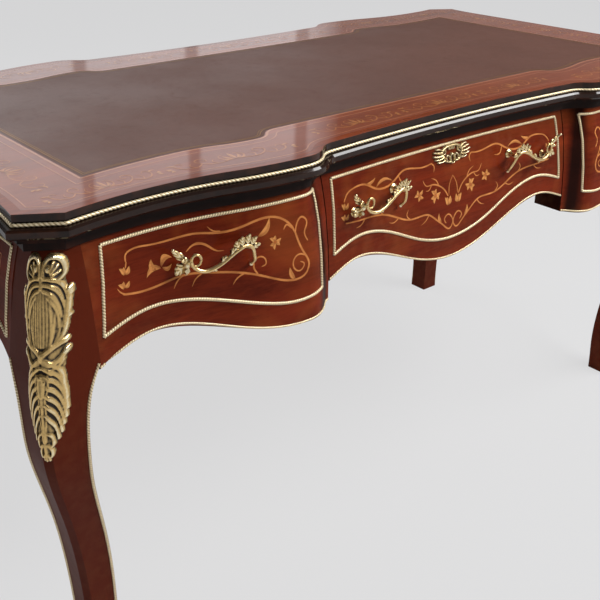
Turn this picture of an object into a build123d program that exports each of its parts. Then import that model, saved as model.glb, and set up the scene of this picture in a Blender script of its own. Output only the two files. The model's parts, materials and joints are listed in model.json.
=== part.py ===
from build123d import *
import os
from math import sqrt

# Writing table with three frieze drawers, four cabriole legs and a shaped top.
# Millimetres. X runs along the length, the front faces -Y, +Z is up.
# The origin is on the floor, under the middle of the top.

os.makedirs("parts", exist_ok=True)

# ---------------------------------------------------------------- driving dimensions
HEIGHT = 780.0               # floor to the top surface

# Plan of the top, measured on the line of the rope trim
CENTRE_DEPTH = 347.0         # half depth at the middle of the front
STEP_DEPTH = 359.0           # half depth where the recessed middle ends
STEP_X = 296.0               # half length of the recessed middle
BLOCK_DEPTH = 388.0          # half depth at the crown of an end block
BLOCK_NOSE_R = 58.0          # convex turn at the inner end of an end block
STEP_COVE_R = 40.0           # hollow turn from the middle to the end block
WAIST_DEPTH = 361.0          # half depth at the hollow of an end block
WAIST_X = 603.0              # where that hollow is deepest
EAR_DEPTH = 373.0            # half depth at the canted corner
EAR_X = 780.0                # half length at the canted corner
CANT_X = 54.0                # canted corner, along the length
CANT_Y = 33.0                # canted corner, along the depth
SIDE_X = EAR_X - 7.0         # half length along the straight part of a side
SIDE_STRAIGHT_Y = 250.0      # half length of that straight part

# Top
PANEL_INSET = 16.0           # panel edge, inside the rope line
EDGE_STEP_T = 9.5            # upper step of the edge moulding
EDGE_STEP_INSET = 2.0
EDGE_COVE_T = 7.0            # cove that holds the rope trim
EDGE_COVE_INSET = 5.0
EDGE_TORUS_T = 13.5          # rounded lower member
EDGE_TORUS_OUT = 8.0         # stands this far outside the rope line
EDGE_TORUS_R = 5.0
ROPE_W = 6.4
ROPE_CLEAR = 0.3
CORNICE_T = 22.0             # hollow moulding between the top and the frieze
CORNICE_STEP_T = 9.0
CORNICE_OUT_INSET = 6.0
CORNICE_IN_INSET = 14.0
CORNICE_WIDTH = 32.0

# Leather writing surface
LEATHER_X = EAR_X - 128.0
LEATHER_EAR_DEPTH = 272.0
LEATHER_WAIST_DEPTH = 260.0
LEATHER_WAIST_X = 500.0
LEATHER_BLOCK_DEPTH = 277.0
LEATHER_STEP_DEPTH = 251.0
LEATHER_CENTRE_DEPTH = 249.0
LEATHER_STEP_X = 318.0
LEATHER_NOSE_R = 30.0
LEATHER_COVE_R = 34.0
LEATHER_T = 2.0

# Frieze: inset of its face from the rope line, and its outward lean: (drop below the top, lean)
FRIEZE_INSET = 20.0
FRIEZE_LEAN = ((52.0, 0.0), (80.0, 8.0), (110.0, 15.0), (160.0, 22.0), (210.0, 26.0), (275.0, 27.0))
SEAT_Y = EAR_DEPTH - 65.0    # flat back of every drawer front
SIDE_SEAT_X = SIDE_X - 44.0  # flat back of the side aprons
SEAM = 1.0                   # gap round a drawer front
STEP_SEAM_X = STEP_X + 4.0   # seam between an end drawer and the middle drawer

# Cabriole leg: (share of the height to the knee, outward lean of its outer faces, width of the square, corner cut)
LEG_FACE_X = EAR_X - 26.0
LEG_FACE_Y = EAR_DEPTH - 22.0
KNEE_Z = HEIGHT - 205.0
LEG_SHAPE = (
    (0.0, -32.0, 48.0, 8.0),
    (0.122, -35.0, 47.0, 8.0),
    (0.252, -31.0, 49.0, 8.0),
    (0.410, -19.0, 51.0, 8.0),
    (0.557, -1.0, 52.0, 8.0),
    (0.696, 21.0, 56.0, 8.5),
    (0.791, 32.0, 61.0, 9.0),
    (0.887, 34.0, 65.0, 11.0),
    (0.948, 33.0, 72.0, 13.0),
    (1.0, 30.0, 84.0, 14.0),
)
POST_W = 54.0                # square of the post at its top
POST_SHAPE = (               # the post above the knee: (drop below the top, lean, width, corner cut)
    (160.0, 23.0, POST_W + 23.0, 16.0),
    (110.0, 15.0, POST_W + 15.0, 18.0),
    (80.0, 8.0, POST_W + 8.0, 19.0),
    (52.0, 0.0, POST_W, 20.0),
)
POST_X = LEG_FACE_X - POST_W  # inner face of a leg post, along the length
POST_Y = LEG_FACE_Y - POST_W  # inner face of a leg post, along the depth
LEG_BEAD_LIFT = 6.0          # the leg beads stop this far above the floor
LEG_BEAD_EDGE = 0.5          # and this far from the leg's inner edges

# Lower edges of the fronts and aprons: (share of the run, drop below the top). The run of an end drawer goes
# from the middle drawer's seam to the leg, and the others' from the middle of the front or side.
END_APRON = ((0.7825, 197.0), (0.4525, 231.0), (0.1625, 253.0))
END_APRON_ENDS = (219.0, 249.0)
MIDDLE_APRON = ((1.0, 218.0), (0.79, 200.0), (0.5167, 219.0), (0.27, 249.0), (0.0, 264.0))
SIDE_APRON = ((1.0, 224.0), (0.7475, 192.0), (0.404, 214.0), (0.0, 232.0))

# Gilt bead panels on the fronts: top line, ends and lower curve
BEAD_DROP = 61.0
BEAD_W = 5.0
BEAD_PROUD = 2.4
TRIM_SEAT = 0.2              # trims and plates stand this far off the bowed faces
EDGE_FILLET_W = 4.0
END_BEAD = ((0.975, 181.0), (0.8, 165.0), (0.5425, 181.0), (0.3575, 204.0), (0.1875, 216.0), (0.08, 211.0))
END_BEAD_ENDS = (0.9375, 0.0725)
MIDDLE_BEAD = ((0.9667, 182.0), (0.7733, 166.0), (0.5333, 179.0), (0.2833, 212.0), (0.0, 229.0))
MIDDLE_BEAD_END = 0.9433
SIDE_BEAD = ((0.9562, 188.0), (0.724, 159.0), (0.3704, 180.0), (0.0, 196.0))
SIDE_BEAD_END = 0.9562

# Carcass
RAIL_FACE_GAP = 0.3          # rails stand this far behind the drawer fronts
RAIL_DEPTH = 56.0
LOWER_RAIL_Z = HEIGHT - 192.0
LOWER_RAIL_T = 14.0
PARTITION_X = STEP_SEAM_X + 2.0
PARTITION_T = 20.0
SLIDE_CLEAR = 0.3            # drawer sides over runners
GUIDE_CLEAR = 1.0            # drawer sides beside guides
GUIDE_H = 36.0
RUNNER_W = 26.0
KICKER_T = 22.0

# Drawers
DRAWER_LENGTH = 2 * SEAT_Y - 80.0  # back of the front to back of the box
DRAWER_TOP_Z = HEIGHT - 80.0
DRAWER_SIDE_T = 12.0
DRAWER_BOTTOM_T = 6.0
DRAWER_BOTTOM_LIFT = 8.0
GROOVE = 5.0
DRAWER_END_CLEAR = 12.0      # side of an end drawer from the leg post and the partition

# Gilt bronze pulls
PULL_X = (POST_X + STEP_SEAM_X) / 2 + 15.0  # middle of an end drawer's pull
PULL_MIDDLE_X = STEP_SEAM_X - 107.0  # middle of each pull of the middle drawer
PULL_Z = HEIGHT - 116.0
PULL_SPAN = 92.0             # between the two fixing bolts
PULL_REACH = 28.0            # how far the bar stands out from the front
PULL_BAR_R = 4.2
PULL_FOOT_R = 9.0
PULL_FOOT_T = 3.0
PULL_DROP = 9.0              # the bar's two ends lie this far below and above its middle
PULL_LEAF_R = 13.0
BOLT_R = 2.2
BOLT_CLEAR = 0.3
NUT_R = 6.0
NUT_T = 3.5

# Escutcheon and lock
PLATE_W = 90.0
PLATE_H = 46.0
PLATE_T = 2.5
PLATE_Z = HEIGHT - 80.0
PLATE_CLEAR = 0.4
KEYHOLE_R = 2.6
KEYHOLE_SLOT = 9.0
LOCK_W = 46.0
LOCK_H = 38.0
LOCK_T = 12.0
LOCK_TOP_Z = HEIGHT - 82.0
LOCK_BOLT_W = 20.0
LOCK_BOLT_T = 5.0
LOCK_BOLT_H = 26.0
LOCK_BOLT_TOP_Z = HEIGHT - 76.0
LOCK_BOLT_CLEAR = 0.4
LOCK_THROW = 8.0
STRIKE_T = 1.5
STRIKE_MARGIN = 7.0

# Knee mounts
KNEE_MOUNT_PROUD = 5.0
KNEE_MOUNT_OUTLINE = (       # (drop below the top, half width across the canted corner)
    (318.0, 4.0), (290.0, 13.0), (234.0, 24.0), (177.0, 32.0), (118.0, 34.0), (80.0, 30.0), (60.0, 26.0))

# Screws that hold the top
SCREW_R = 2.4
SCREW_HEAD_R = 4.6
SCREW_HEAD_T = 3.0
SCREW_GRIP = 12.0
SCREW_XS = (-0.8 * POST_X, -0.6 * STEP_SEAM_X, 0.6 * STEP_SEAM_X, 0.8 * POST_X)

PANEL_TOP_Z = HEIGHT
PANEL_BOTTOM_Z = HEIGHT - EDGE_STEP_T - EDGE_COVE_T - EDGE_TORUS_T
CORNICE_BOTTOM_Z = PANEL_BOTTOM_Z - CORNICE_T
TOP_RAIL_Z = CORNICE_BOTTOM_Z - KICKER_T
DRAWER_FRONT_TOP_Z = CORNICE_BOTTOM_Z - SEAM
RAIL_Y = SEAT_Y - RAIL_FACE_GAP
RAIL_BACK_Y = SEAT_Y - RAIL_DEPTH
RUNNER_TOP_Z = LOWER_RAIL_Z + LOWER_RAIL_T
DRAWER_Z = RUNNER_TOP_Z + SLIDE_CLEAR
DRAWER_BACK_Y = DRAWER_LENGTH - SEAT_Y
BEAD_TOP_Z = HEIGHT - BEAD_DROP
FRIEZE_LEVELS = [(HEIGHT - drop, lean) for drop, lean in FRIEZE_LEAN]
LEG_LEVELS = [(KNEE_Z * share, *rest) for share, *rest in LEG_SHAPE]
POST_LEVELS = [LEG_LEVELS[-1]] + [(HEIGHT - drop, *rest) for drop, *rest in POST_SHAPE]


# ---------------------------------------------------------------- plan curves
def arc_between(centre, start, end):
    """The short arc about centre from start to end, as start, middle and end points."""
    reach = (start - centre).length
    middle = centre + ((start + end) / 2 - centre).normalized() * reach
    return (start, middle, end)


def line_meets_circle(point, along, centre, radius, near):
    """Where the line through point meets the circle, at the crossing closest to near."""
    along = along.normalized()
    offset = point - centre
    b = offset.dot(along)
    root = sqrt(b * b - offset.dot(offset) + radius * radius)
    crossings = [point + along * (-b + root), point + along * (-b - root)]
    return min(crossings, key=lambda crossing: (crossing - near).length)


def shaped_edge(inset, centre_depth, step_depth, step_x, block_depth, waist_depth, waist_x, nose_r, cove_r):
    """Arcs of half a long edge, from the middle to the waist of an end block, moved inwards by inset."""
    middle_r = (step_x**2 + (step_depth - centre_depth) ** 2) / (2 * (step_depth - centre_depth))
    middle_o = Vector(0, centre_depth + middle_r)
    step = Vector(step_x, step_depth)
    outward = (middle_o - step).normalized()
    cove_o = step + outward * cove_r
    nose_y = block_depth - nose_r
    crown_x = cove_o.X + sqrt((nose_r + cove_r) ** 2 - (cove_o.Y - nose_y) ** 2)
    nose_o = Vector(crown_x, nose_y)
    sway = block_depth - waist_depth
    sway_r = ((waist_x - crown_x) ** 2 + sway**2) / (4 * sway)
    crown_o = Vector(crown_x, block_depth - sway_r)
    waist_o = Vector(waist_x, waist_depth + sway_r)

    start = Vector(0, centre_depth - inset)
    to_cove = cove_o - outward * (cove_r + inset)
    to_nose = nose_o + (cove_o - nose_o).normalized() * (nose_r - inset)
    crown = Vector(crown_x, block_depth - inset)
    sway_mid = crown_o + (waist_o - crown_o).normalized() * (sway_r - inset)
    waist = Vector(waist_x, waist_depth - inset)
    return [
        arc_between(middle_o, start, to_cove),
        arc_between(cove_o, to_cove, to_nose),
        arc_between(nose_o, to_nose, crown),
        arc_between(crown_o, crown, sway_mid),
        arc_between(waist_o, sway_mid, waist),
    ]


def top_quarter(inset):
    """Arcs and lines of a quarter of the top's plan, moved inwards by inset."""
    runs = shaped_edge(inset, CENTRE_DEPTH, STEP_DEPTH, STEP_X, BLOCK_DEPTH, WAIST_DEPTH, WAIST_X,
                       BLOCK_NOSE_R, STEP_COVE_R)
    ear = Vector(EAR_X - CANT_X, EAR_DEPTH)
    horn = Vector(EAR_X, EAR_DEPTH - CANT_Y)
    along = (horn - ear).normalized()
    inward = Vector(-CANT_Y, -CANT_X).normalized()
    rise = EAR_DEPTH - WAIST_DEPTH
    ear_r = ((ear.X - WAIST_X) ** 2 + rise**2) / (2 * rise)
    ear_o = Vector(WAIST_X, WAIST_DEPTH + ear_r)
    side_run = horn.Y - SIDE_STRAIGHT_Y
    side_r = (side_run**2 + (EAR_X - SIDE_X) ** 2) / (2 * (EAR_X - SIDE_X))
    side_o = Vector(SIDE_X + side_r, SIDE_STRAIGHT_Y)

    ear_end = line_meets_circle(ear + inward * inset, along, ear_o, ear_r + inset, ear)
    horn_end = line_meets_circle(horn + inward * inset, along, side_o, side_r + inset, horn)
    side_start = Vector(SIDE_X - inset, SIDE_STRAIGHT_Y)
    runs.append(arc_between(ear_o, runs[-1][2], ear_end))
    runs.append((ear_end, horn_end))
    runs.append(arc_between(side_o, horn_end, side_start))
    runs.append((side_start, Vector(SIDE_X - inset, 0)))
    return runs


def leather_quarter():
    """Arcs and lines of a quarter of the leather's plan."""
    runs = shaped_edge(0, LEATHER_CENTRE_DEPTH, LEATHER_STEP_DEPTH, LEATHER_STEP_X, LEATHER_BLOCK_DEPTH,
                       LEATHER_WAIST_DEPTH, LEATHER_WAIST_X, LEATHER_NOSE_R, LEATHER_COVE_R)
    corner = Vector(LEATHER_X, LEATHER_EAR_DEPTH)
    rise = LEATHER_EAR_DEPTH - LEATHER_WAIST_DEPTH
    ear_r = ((LEATHER_X - LEATHER_WAIST_X) ** 2 + rise**2) / (2 * rise)
    runs.append(arc_between(Vector(LEATHER_WAIST_X, LEATHER_WAIST_DEPTH + ear_r), runs[-1][2], corner))
    runs.append((corner, Vector(LEATHER_X, 0)))
    return runs


def plan_face(quarter, z=0.0):
    """Face at height z, bounded by the quarter's runs repeated in all four quarters."""
    edges = []
    for sx in (1, -1):
        for sy in (1, -1):
            for run in quarter:
                points = [Vector(p.X * sx, p.Y * sy, z) for p in run]
                edges.append(ThreePointArc(*points) if len(points) == 3 else Line(*points))
    return Face(Wire([edge.edges()[0] for edge in edges]))


def layer(inset, z_low, z_high):
    """Plate with the top's plan, moved inwards by inset, between two heights."""
    return extrude(plan_face(top_quarter(inset), z_low), z_high - z_low, dir=(0, 0, 1))


def ring(inset_out, inset_in, z_low, z_high):
    """Frame between two insets of the top's plan."""
    return layer(inset_out, z_low, z_high) - layer(inset_in, z_low, z_high)


def block(x_low, x_high, y_low, y_high, z_low, z_high):
    """Box between two corners."""
    size = (x_high - x_low, y_high - y_low, z_high - z_low)
    middle = ((x_low + x_high) / 2, (y_low + y_high) / 2, (z_low + z_high) / 2)
    return Pos(*middle) * Box(*size)


def rod(start, axis, radius, length):
    """Cylinder from start along axis."""
    plane = Plane(origin=start, z_dir=axis)
    return extrude(plane * Circle(radius), length)


# ---------------------------------------------------------------- elevation shapes
def mirrored(points):
    """The points and their mirror images, for a curve that is symmetric about zero."""
    return list(points) + [(-along, height) for along, height in reversed(points[:-1])]


def elevation_face(curve, top_z, start_along, end_along, facing):
    """Face under a level line and over a curve; facing 'front' draws it in XZ, 'side' in YZ."""
    def place(along, height):
        return Vector(along, 0, height) if facing == "front" else Vector(0, along, height)
    points = [place(*p) for p in curve]
    head = place(start_along, top_z)
    tail = place(end_along, top_z)
    edges = [Spline(*points), Line(points[-1], tail), Line(tail, head), Line(head, points[0])]
    return Face(Wire([edge.edges()[0] for edge in edges]))


def elevation_prism(face, facing):
    """The elevation pushed out through the front or the left side."""
    reach = 2 * EAR_X
    direction = (0, -1, 0) if facing == "front" else (-1, 0, 0)
    return extrude(face, reach, dir=direction)


def bead_prism(curve, start_along, end_along, facing):
    """Band of the bead's width along a curve, up its two ends and under the top line."""
    lifted = [(along, height + BEAD_W) for along, height in curve]
    lifted[0] = (curve[0][0] + BEAD_W, curve[0][1] + BEAD_W)
    lifted[-1] = (curve[-1][0] - BEAD_W, curve[-1][1] + BEAD_W)
    outer = elevation_face(curve, BEAD_TOP_Z, start_along, end_along, facing)
    inner = elevation_face(lifted, BEAD_TOP_Z - BEAD_W, start_along + BEAD_W, end_along - BEAD_W, facing)
    return elevation_prism(outer, facing) - elevation_prism(inner, facing)


def lower_band(curve, facing):
    """Band of the edge fillet's width above a lower edge curve."""
    lifted = [(along, height + EDGE_FILLET_W) for along, height in curve]
    top_z = max(height for _, height in lifted) + BEAD_W
    low = elevation_face(curve, top_z, curve[0][0], curve[-1][0], facing)
    high = elevation_face(lifted, top_z, curve[0][0], curve[-1][0], facing)
    return elevation_prism(low, facing) - elevation_prism(high, facing)


def frieze_body(proud):
    """Solid inside the leaning frieze face, grown outwards by proud."""
    sections = [plan_face(top_quarter(FRIEZE_INSET - lean - proud), z) for z, lean in FRIEZE_LEVELS]
    return loft(sections, ruled=True)


def only_solids(shape):
    """The shape's solids, without specks."""
    return [solid for solid in shape.solids() if solid.volume > 1.0]


def save(name, *shapes):
    """Write one node; several solids stay separate in it."""
    solids = [solid for shape in shapes for solid in only_solids(shape)]
    export_step(Compound(children=solids) if len(solids) > 1 else solids[0], f"parts/{name}.step")


def flip_x(shape):
    return mirror(shape, about=Plane.YZ)


def flip_y(shape):
    return mirror(shape, about=Plane.XZ)


# ---------------------------------------------------------------- top
def top_screws():
    """Places of the screws that hold the top, on the front and rear top rails."""
    rail_mid = RAIL_BACK_Y + RAIL_DEPTH / 2
    return [(x, y) for x in SCREW_XS for y in (-rail_mid, rail_mid)]


def make_top():
    panel = layer(PANEL_INSET, PANEL_BOTTOM_Z, PANEL_TOP_Z)
    recess = extrude(plan_face(leather_quarter(), PANEL_TOP_Z - LEATHER_T), LEATHER_T, dir=(0, 0, 1))
    panel -= recess
    for x, y in top_screws():
        panel -= rod((x, y, PANEL_BOTTOM_Z), (0, 0, 1), SCREW_R + ROPE_CLEAR, SCREW_GRIP + ROPE_CLEAR)
    save("top_panel", panel)
    save("leather_inset", recess)


def mitre_prisms():
    """Eight regions that part the edge moulding at the ends of its canted corners."""
    reach = 60.0
    ear = Vector(EAR_X - CANT_X, EAR_DEPTH)
    horn = Vector(EAR_X, EAR_DEPTH - CANT_Y)
    cant_out = Vector(CANT_Y, CANT_X).normalized()
    ear_mitre = (cant_out + Vector(0, 1)).normalized()
    horn_mitre = (cant_out + Vector(1, 0)).normalized()
    ear_in, ear_out = ear - ear_mitre * reach, ear + ear_mitre * reach
    horn_in, horn_out = horn - horn_mitre * reach, horn + horn_mitre * reach

    def prism(points):
        face = Face(Wire.make_polygon([Vector(p.X, p.Y, 0) for p in points], close=True))
        return extrude(face, HEIGHT + reach, dir=(0, 0, 1))

    def flipped(points, sx, sy):
        return [Vector(p.X * sx, p.Y * sy) for p in points]

    prisms = []
    for s in (1, -1):
        long_run = [ear_in, ear_out, Vector(-ear_out.X, ear_out.Y), Vector(-ear_in.X, ear_in.Y)]
        short_run = [horn_in, horn_out, Vector(horn_out.X, -horn_out.Y), Vector(horn_in.X, -horn_in.Y)]
        prisms.append(prism(flipped(long_run, 1, s)))
        prisms.append(prism(flipped(short_run, s, 1)))
        for t in (1, -1):
            prisms.append(prism(flipped([ear_in, ear_out, horn_out, horn_in], s, t)))
    return prisms


def make_edge_mouldings():
    step_z = PANEL_TOP_Z - EDGE_STEP_T
    cove_z = step_z - EDGE_COVE_T
    torus = layer(-EDGE_TORUS_OUT, PANEL_BOTTOM_Z, cove_z)
    torus = chamfer(torus.faces().sort_by(Axis.Z)[0].edges() + torus.faces().sort_by(Axis.Z)[-1].edges(),
                    EDGE_TORUS_R * 0.6)
    moulding = ring(EDGE_STEP_INSET, PANEL_INSET, step_z, PANEL_TOP_Z)
    moulding += ring(EDGE_COVE_INSET, PANEL_INSET, cove_z, step_z)
    moulding += torus - layer(PANEL_INSET, PANEL_BOTTOM_Z, cove_z)
    prisms = mitre_prisms()
    save("top_edge_moulding", *[moulding & prism for prism in prisms])

    rope_in = EDGE_COVE_INSET - ROPE_CLEAR
    save("top_rope_trim", ring(rope_in - ROPE_W, rope_in, cove_z, cove_z + ROPE_W))

    cornice_in = CORNICE_OUT_INSET + CORNICE_WIDTH
    cornice = ring(CORNICE_OUT_INSET, cornice_in, PANEL_BOTTOM_Z - CORNICE_STEP_T, PANEL_BOTTOM_Z)
    cornice += ring(CORNICE_IN_INSET, cornice_in, CORNICE_BOTTOM_Z, PANEL_BOTTOM_Z - CORNICE_STEP_T)
    save("frieze_cornice", *[cornice & prism for prism in prisms])


def make_top_screws():
    screws = []
    for x, y in top_screws():
        length = PANEL_BOTTOM_Z - TOP_RAIL_Z + SCREW_GRIP
        screw = rod((x, y, TOP_RAIL_Z), (0, 0, 1), SCREW_R, length)
        screw += rod((x, y, TOP_RAIL_Z - SCREW_HEAD_T), (0, 0, 1), SCREW_HEAD_R, SCREW_HEAD_T)
        screws.append(screw)
    save("top_fixing_screws", *screws)


# ---------------------------------------------------------------- legs
def leg_section(level):
    """Square of the front left leg at one level, with its outer corner cut."""
    z, lean, width, cut = level
    x_out = -(LEG_FACE_X + lean)
    y_out = -(LEG_FACE_Y + lean)
    points = [
        (x_out + cut, y_out), (x_out + width, y_out), (x_out + width, y_out + width),
        (x_out, y_out + width), (x_out, y_out + cut)]
    return Face(Wire.make_polygon([Vector(x, y, z) for x, y in points], close=True))


def corner_loft(levels, post_levels):
    """A smooth cabriole with a straight-sided post above it."""
    return loft([leg_section(level) for level in levels]) + loft(
        [leg_section(level) for level in post_levels], ruled=True)


def leg_bead_strips(leg):
    """Gilt bead along the inner edge of the leg's two outer faces."""
    def strip(on_front):
        sections = []
        for z, lean, width, _ in LEG_LEVELS:
            face_x = -(LEG_FACE_X + lean)
            face_y = -(LEG_FACE_Y + lean)
            if on_front:
                corner = (face_x + width - EDGE_FILLET_W - LEG_BEAD_EDGE, face_y - BEAD_PROUD)
                span = (EDGE_FILLET_W, 2 * BEAD_PROUD)
            else:
                corner = (face_x - BEAD_PROUD, face_y + width - EDGE_FILLET_W - LEG_BEAD_EDGE)
                span = (2 * BEAD_PROUD, EDGE_FILLET_W)
            points = [corner, (corner[0] + span[0], corner[1]), (corner[0] + span[0], corner[1] + span[1]),
                      (corner[0], corner[1] + span[1])]
            sections.append(Face(Wire.make_polygon([Vector(x, y, z) for x, y in points], close=True)))
        return loft(sections) - leg - block(-EAR_X, EAR_X, -EAR_X, EAR_X, 0, LEG_BEAD_LIFT)

    return [max(strip(on_front).solids(), key=lambda solid: solid.volume) for on_front in (True, False)]


def knee_mount(leg):
    """Gilt shell of even thickness over the canted corner of the knee."""
    cut_growth = KNEE_MOUNT_PROUD * (2 - sqrt(2))

    def grown(levels):
        return [(z, lean + KNEE_MOUNT_PROUD, width + KNEE_MOUNT_PROUD, cut + cut_growth)
                for z, lean, width, cut in levels]

    shell = corner_loft(grown(LEG_LEVELS[4:]), grown(POST_LEVELS)) - leg
    across = Vector(1, -1, 0).normalized()
    outward = Vector(-1, -1, 0).normalized()
    start = Vector(-LEG_FACE_X, -LEG_FACE_Y, 0) - outward * EDGE_TORUS_R

    def place(half, z):
        return start + across * half + Vector(0, 0, z)

    sides = [[place(side * half, HEIGHT - drop) for drop, half in KNEE_MOUNT_OUTLINE] for side in (1, -1)]
    edges = [Spline(*side) for side in sides]
    edges += [Line(sides[0][end], sides[1][end]) for end in (0, -1)]
    outline = Face(Wire([edge.edges()[0] for edge in edges]))
    region = extrude(outline, LEG_FACE_Y / 2, dir=outward)
    inner = extrude(outline, KNEE_MOUNT_OUTLINE[-1][1], dir=-outward)
    mount = shell & (region + inner)
    return max(mount.solids(), key=lambda solid: solid.volume)


def make_legs():
    leg = corner_loft(LEG_LEVELS, POST_LEVELS)
    mount = knee_mount(leg)
    strips = leg_bead_strips(leg)
    corners = {"front_left": lambda s: s, "front_right": flip_x, "rear_left": flip_y,
               "rear_right": lambda s: flip_y(flip_x(s))}
    beads = []
    for corner, place in corners.items():
        save(f"leg_{corner}", place(leg))
        save(f"knee_mount_{corner}", place(mount))
        beads += [place(strip) for strip in strips]
    save("leg_bead_trims", *beads)


# ---------------------------------------------------------------- frieze fronts
def along_end(share):
    """Place along the left end drawer, from the seam at 0 to the leg at 1."""
    return -(STEP_SEAM_X + share * (POST_X - STEP_SEAM_X))


def end_curve(points):
    """Curve along the left end drawer."""
    return [(along_end(share), HEIGHT - drop) for share, drop in points]


def middle_curve(points, half_run):
    """Curve along the middle drawer or a side, the same on both sides of its middle."""
    return mirrored([(-share * half_run, HEIGHT - drop) for share, drop in points])


def end_apron_curve():
    """Lower edge of the left end drawer's front, between its seams."""
    leg_drop, step_drop = END_APRON_ENDS
    return [(-POST_X + SEAM, HEIGHT - leg_drop), *end_curve(END_APRON), (-STEP_SEAM_X - SEAM, HEIGHT - step_drop)]


def drawer_front(frieze, curve):
    """Front with the frieze's bowed, leaning face, a flat back and a shaped lower edge."""
    face = elevation_face(curve, DRAWER_FRONT_TOP_Z, curve[0][0], curve[-1][0], "front")
    behind = block(-EAR_X, EAR_X, -SEAT_Y, SEAT_Y, 0, HEIGHT)
    return (elevation_prism(face, "front") & frieze) - behind


def side_apron(frieze):
    curve = middle_curve(SIDE_APRON, POST_Y)
    face = elevation_face(curve, CORNICE_BOTTOM_Z, curve[0][0], curve[-1][0], "side")
    behind = block(-SIDE_SEAT_X, EAR_X, -EAR_X, EAR_X, 0, HEIGHT)
    return (elevation_prism(face, "side") & frieze) - behind


def gilt_trims(skin, bead_curve, bead_start, bead_end, edge_curve, facing):
    """Bead panel and lower fillet of one front or apron, cut from the skin over the frieze."""
    bead = bead_prism(bead_curve, bead_start, bead_end, facing) & skin
    fillet_strip = lower_band(edge_curve, facing) & skin
    return only_solids(bead) + only_solids(fillet_strip)


# ---------------------------------------------------------------- pulls
def surface_y(x, z):
    """Depth of the frieze face at x on the end block or the middle, and at height z."""
    depth = front_depth(abs(x))
    return depth - FRIEZE_INSET + lean_at(z)


def lean_at(z):
    """Outward lean of the frieze face at height z."""
    for (z_high, lean_high), (z_low, lean_low) in zip(FRIEZE_LEVELS, FRIEZE_LEVELS[1:]):
        if z_low <= z <= z_high:
            return lean_high + (lean_low - lean_high) * (z_high - z) / (z_high - z_low)
    return FRIEZE_LEVELS[-1][1] if z < FRIEZE_LEVELS[-1][0] else FRIEZE_LEVELS[0][1]


def front_depth(x):
    """Half depth of the rope line at x, from the plan's arcs."""
    for start, middle, end in top_quarter(0)[:6]:
        if start.X <= x <= end.X:
            return arc_depth(start, middle, end, x)
    return EAR_DEPTH


def arc_depth(start, middle, end, x):
    """Depth at x of the arc through three points."""
    chord = end - start
    sagitta = (middle - (start + end) / 2)
    rise = sagitta.length
    radius = (chord.length**2 / 4 + rise**2) / (2 * rise)
    centre = middle - sagitta.normalized() * radius
    side = 1 if middle.Y > centre.Y else -1
    return centre.Y + side * sqrt(radius**2 - (x - centre.X) ** 2)


def pull(x_mid, hand):
    """Gilt scroll pull on the front at x_mid; hand is 1 where its leaves are on the left."""
    feet = []
    for end in (-1, 1):
        x = x_mid + end * PULL_SPAN / 2
        z = PULL_Z + end * hand * PULL_DROP * 0.5
        feet.append(Vector(x, -surface_y(x, z), z))
    out = Vector(0, -PULL_REACH, 0)
    knees = [feet[0] + out * 0.8 + Vector(6, 0, 0), feet[1] + out * 0.8 - Vector(6, 0, 0)]
    crest = (feet[0] + feet[1]) / 2 + out
    bar_path = FilletPolyline(
        feet[0], knees[0], crest + Vector(-14, 0, -hand * PULL_DROP * 0.4),
        crest + Vector(14, 0, hand * PULL_DROP * 0.4), knees[1], feet[1], radius=9)
    start = Plane(origin=feet[0], z_dir=bar_path % 0)
    bar = sweep(start * Circle(PULL_BAR_R), path=bar_path)
    body = bar
    for foot in feet:
        body += rod(foot - Vector(0, PULL_FOOT_T, 0), (0, 1, 0), PULL_FOOT_R, PULL_FOOT_T)
    for foot, end in zip(feet, (-1, 1)):
        leaf = foot + out * 0.45 + Vector(end * PULL_LEAF_R * 0.7, 0, 0)
        body += Pos(leaf.X, leaf.Y, leaf.Z) * scale(Sphere(PULL_LEAF_R), by=(1.0, 0.42, 0.95))
    return body, feet


def trimmed_pull(x_mid, hand, frieze):
    """The pull with its feet let down on to the leaning face."""
    body, feet = pull(x_mid, hand)
    for foot in feet:
        body += rod(foot - Vector(0, PULL_FOOT_T, 0), (0, 1, 0), PULL_FOOT_R * 0.8, PULL_FOOT_T * 4)
    body -= frieze
    body = max(body.solids(), key=lambda solid: solid.volume)
    return body, feet


def pull_bolts(feet):
    """Bolts from the pull's feet through the front, each with a round nut inside."""
    bolts = []
    for foot in feet:
        start = Vector(foot.X, foot.Y + PULL_FOOT_T, foot.Z)
        length = -SEAT_Y + NUT_T * 1.5 - start.Y
        bolt = rod(start, (0, 1, 0), BOLT_R, length)
        bolt += rod((foot.X, -SEAT_Y, foot.Z), (0, 1, 0), NUT_R, NUT_T)
        bolts.append(bolt)
    return bolts


def drill_for(front, feet):
    """Bolt holes through a front."""
    for foot in feet:
        start = Vector(foot.X, foot.Y - PULL_REACH, foot.Z)
        front -= rod(start, (0, 1, 0), BOLT_R + BOLT_CLEAR, PULL_REACH - foot.Y - SEAT_Y + PULL_REACH)
    return front


# ---------------------------------------------------------------- drawers
def drawer_bay(name):
    """Outer faces of a drawer's sides."""
    if name == "centre":
        half = PARTITION_X - PARTITION_T / 2 - DRAWER_END_CLEAR
        return -half, half
    low = -POST_X + DRAWER_END_CLEAR
    high = -PARTITION_X - PARTITION_T / 2 - DRAWER_END_CLEAR
    return (low, high) if name == "left" else (-high, -low)


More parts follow.
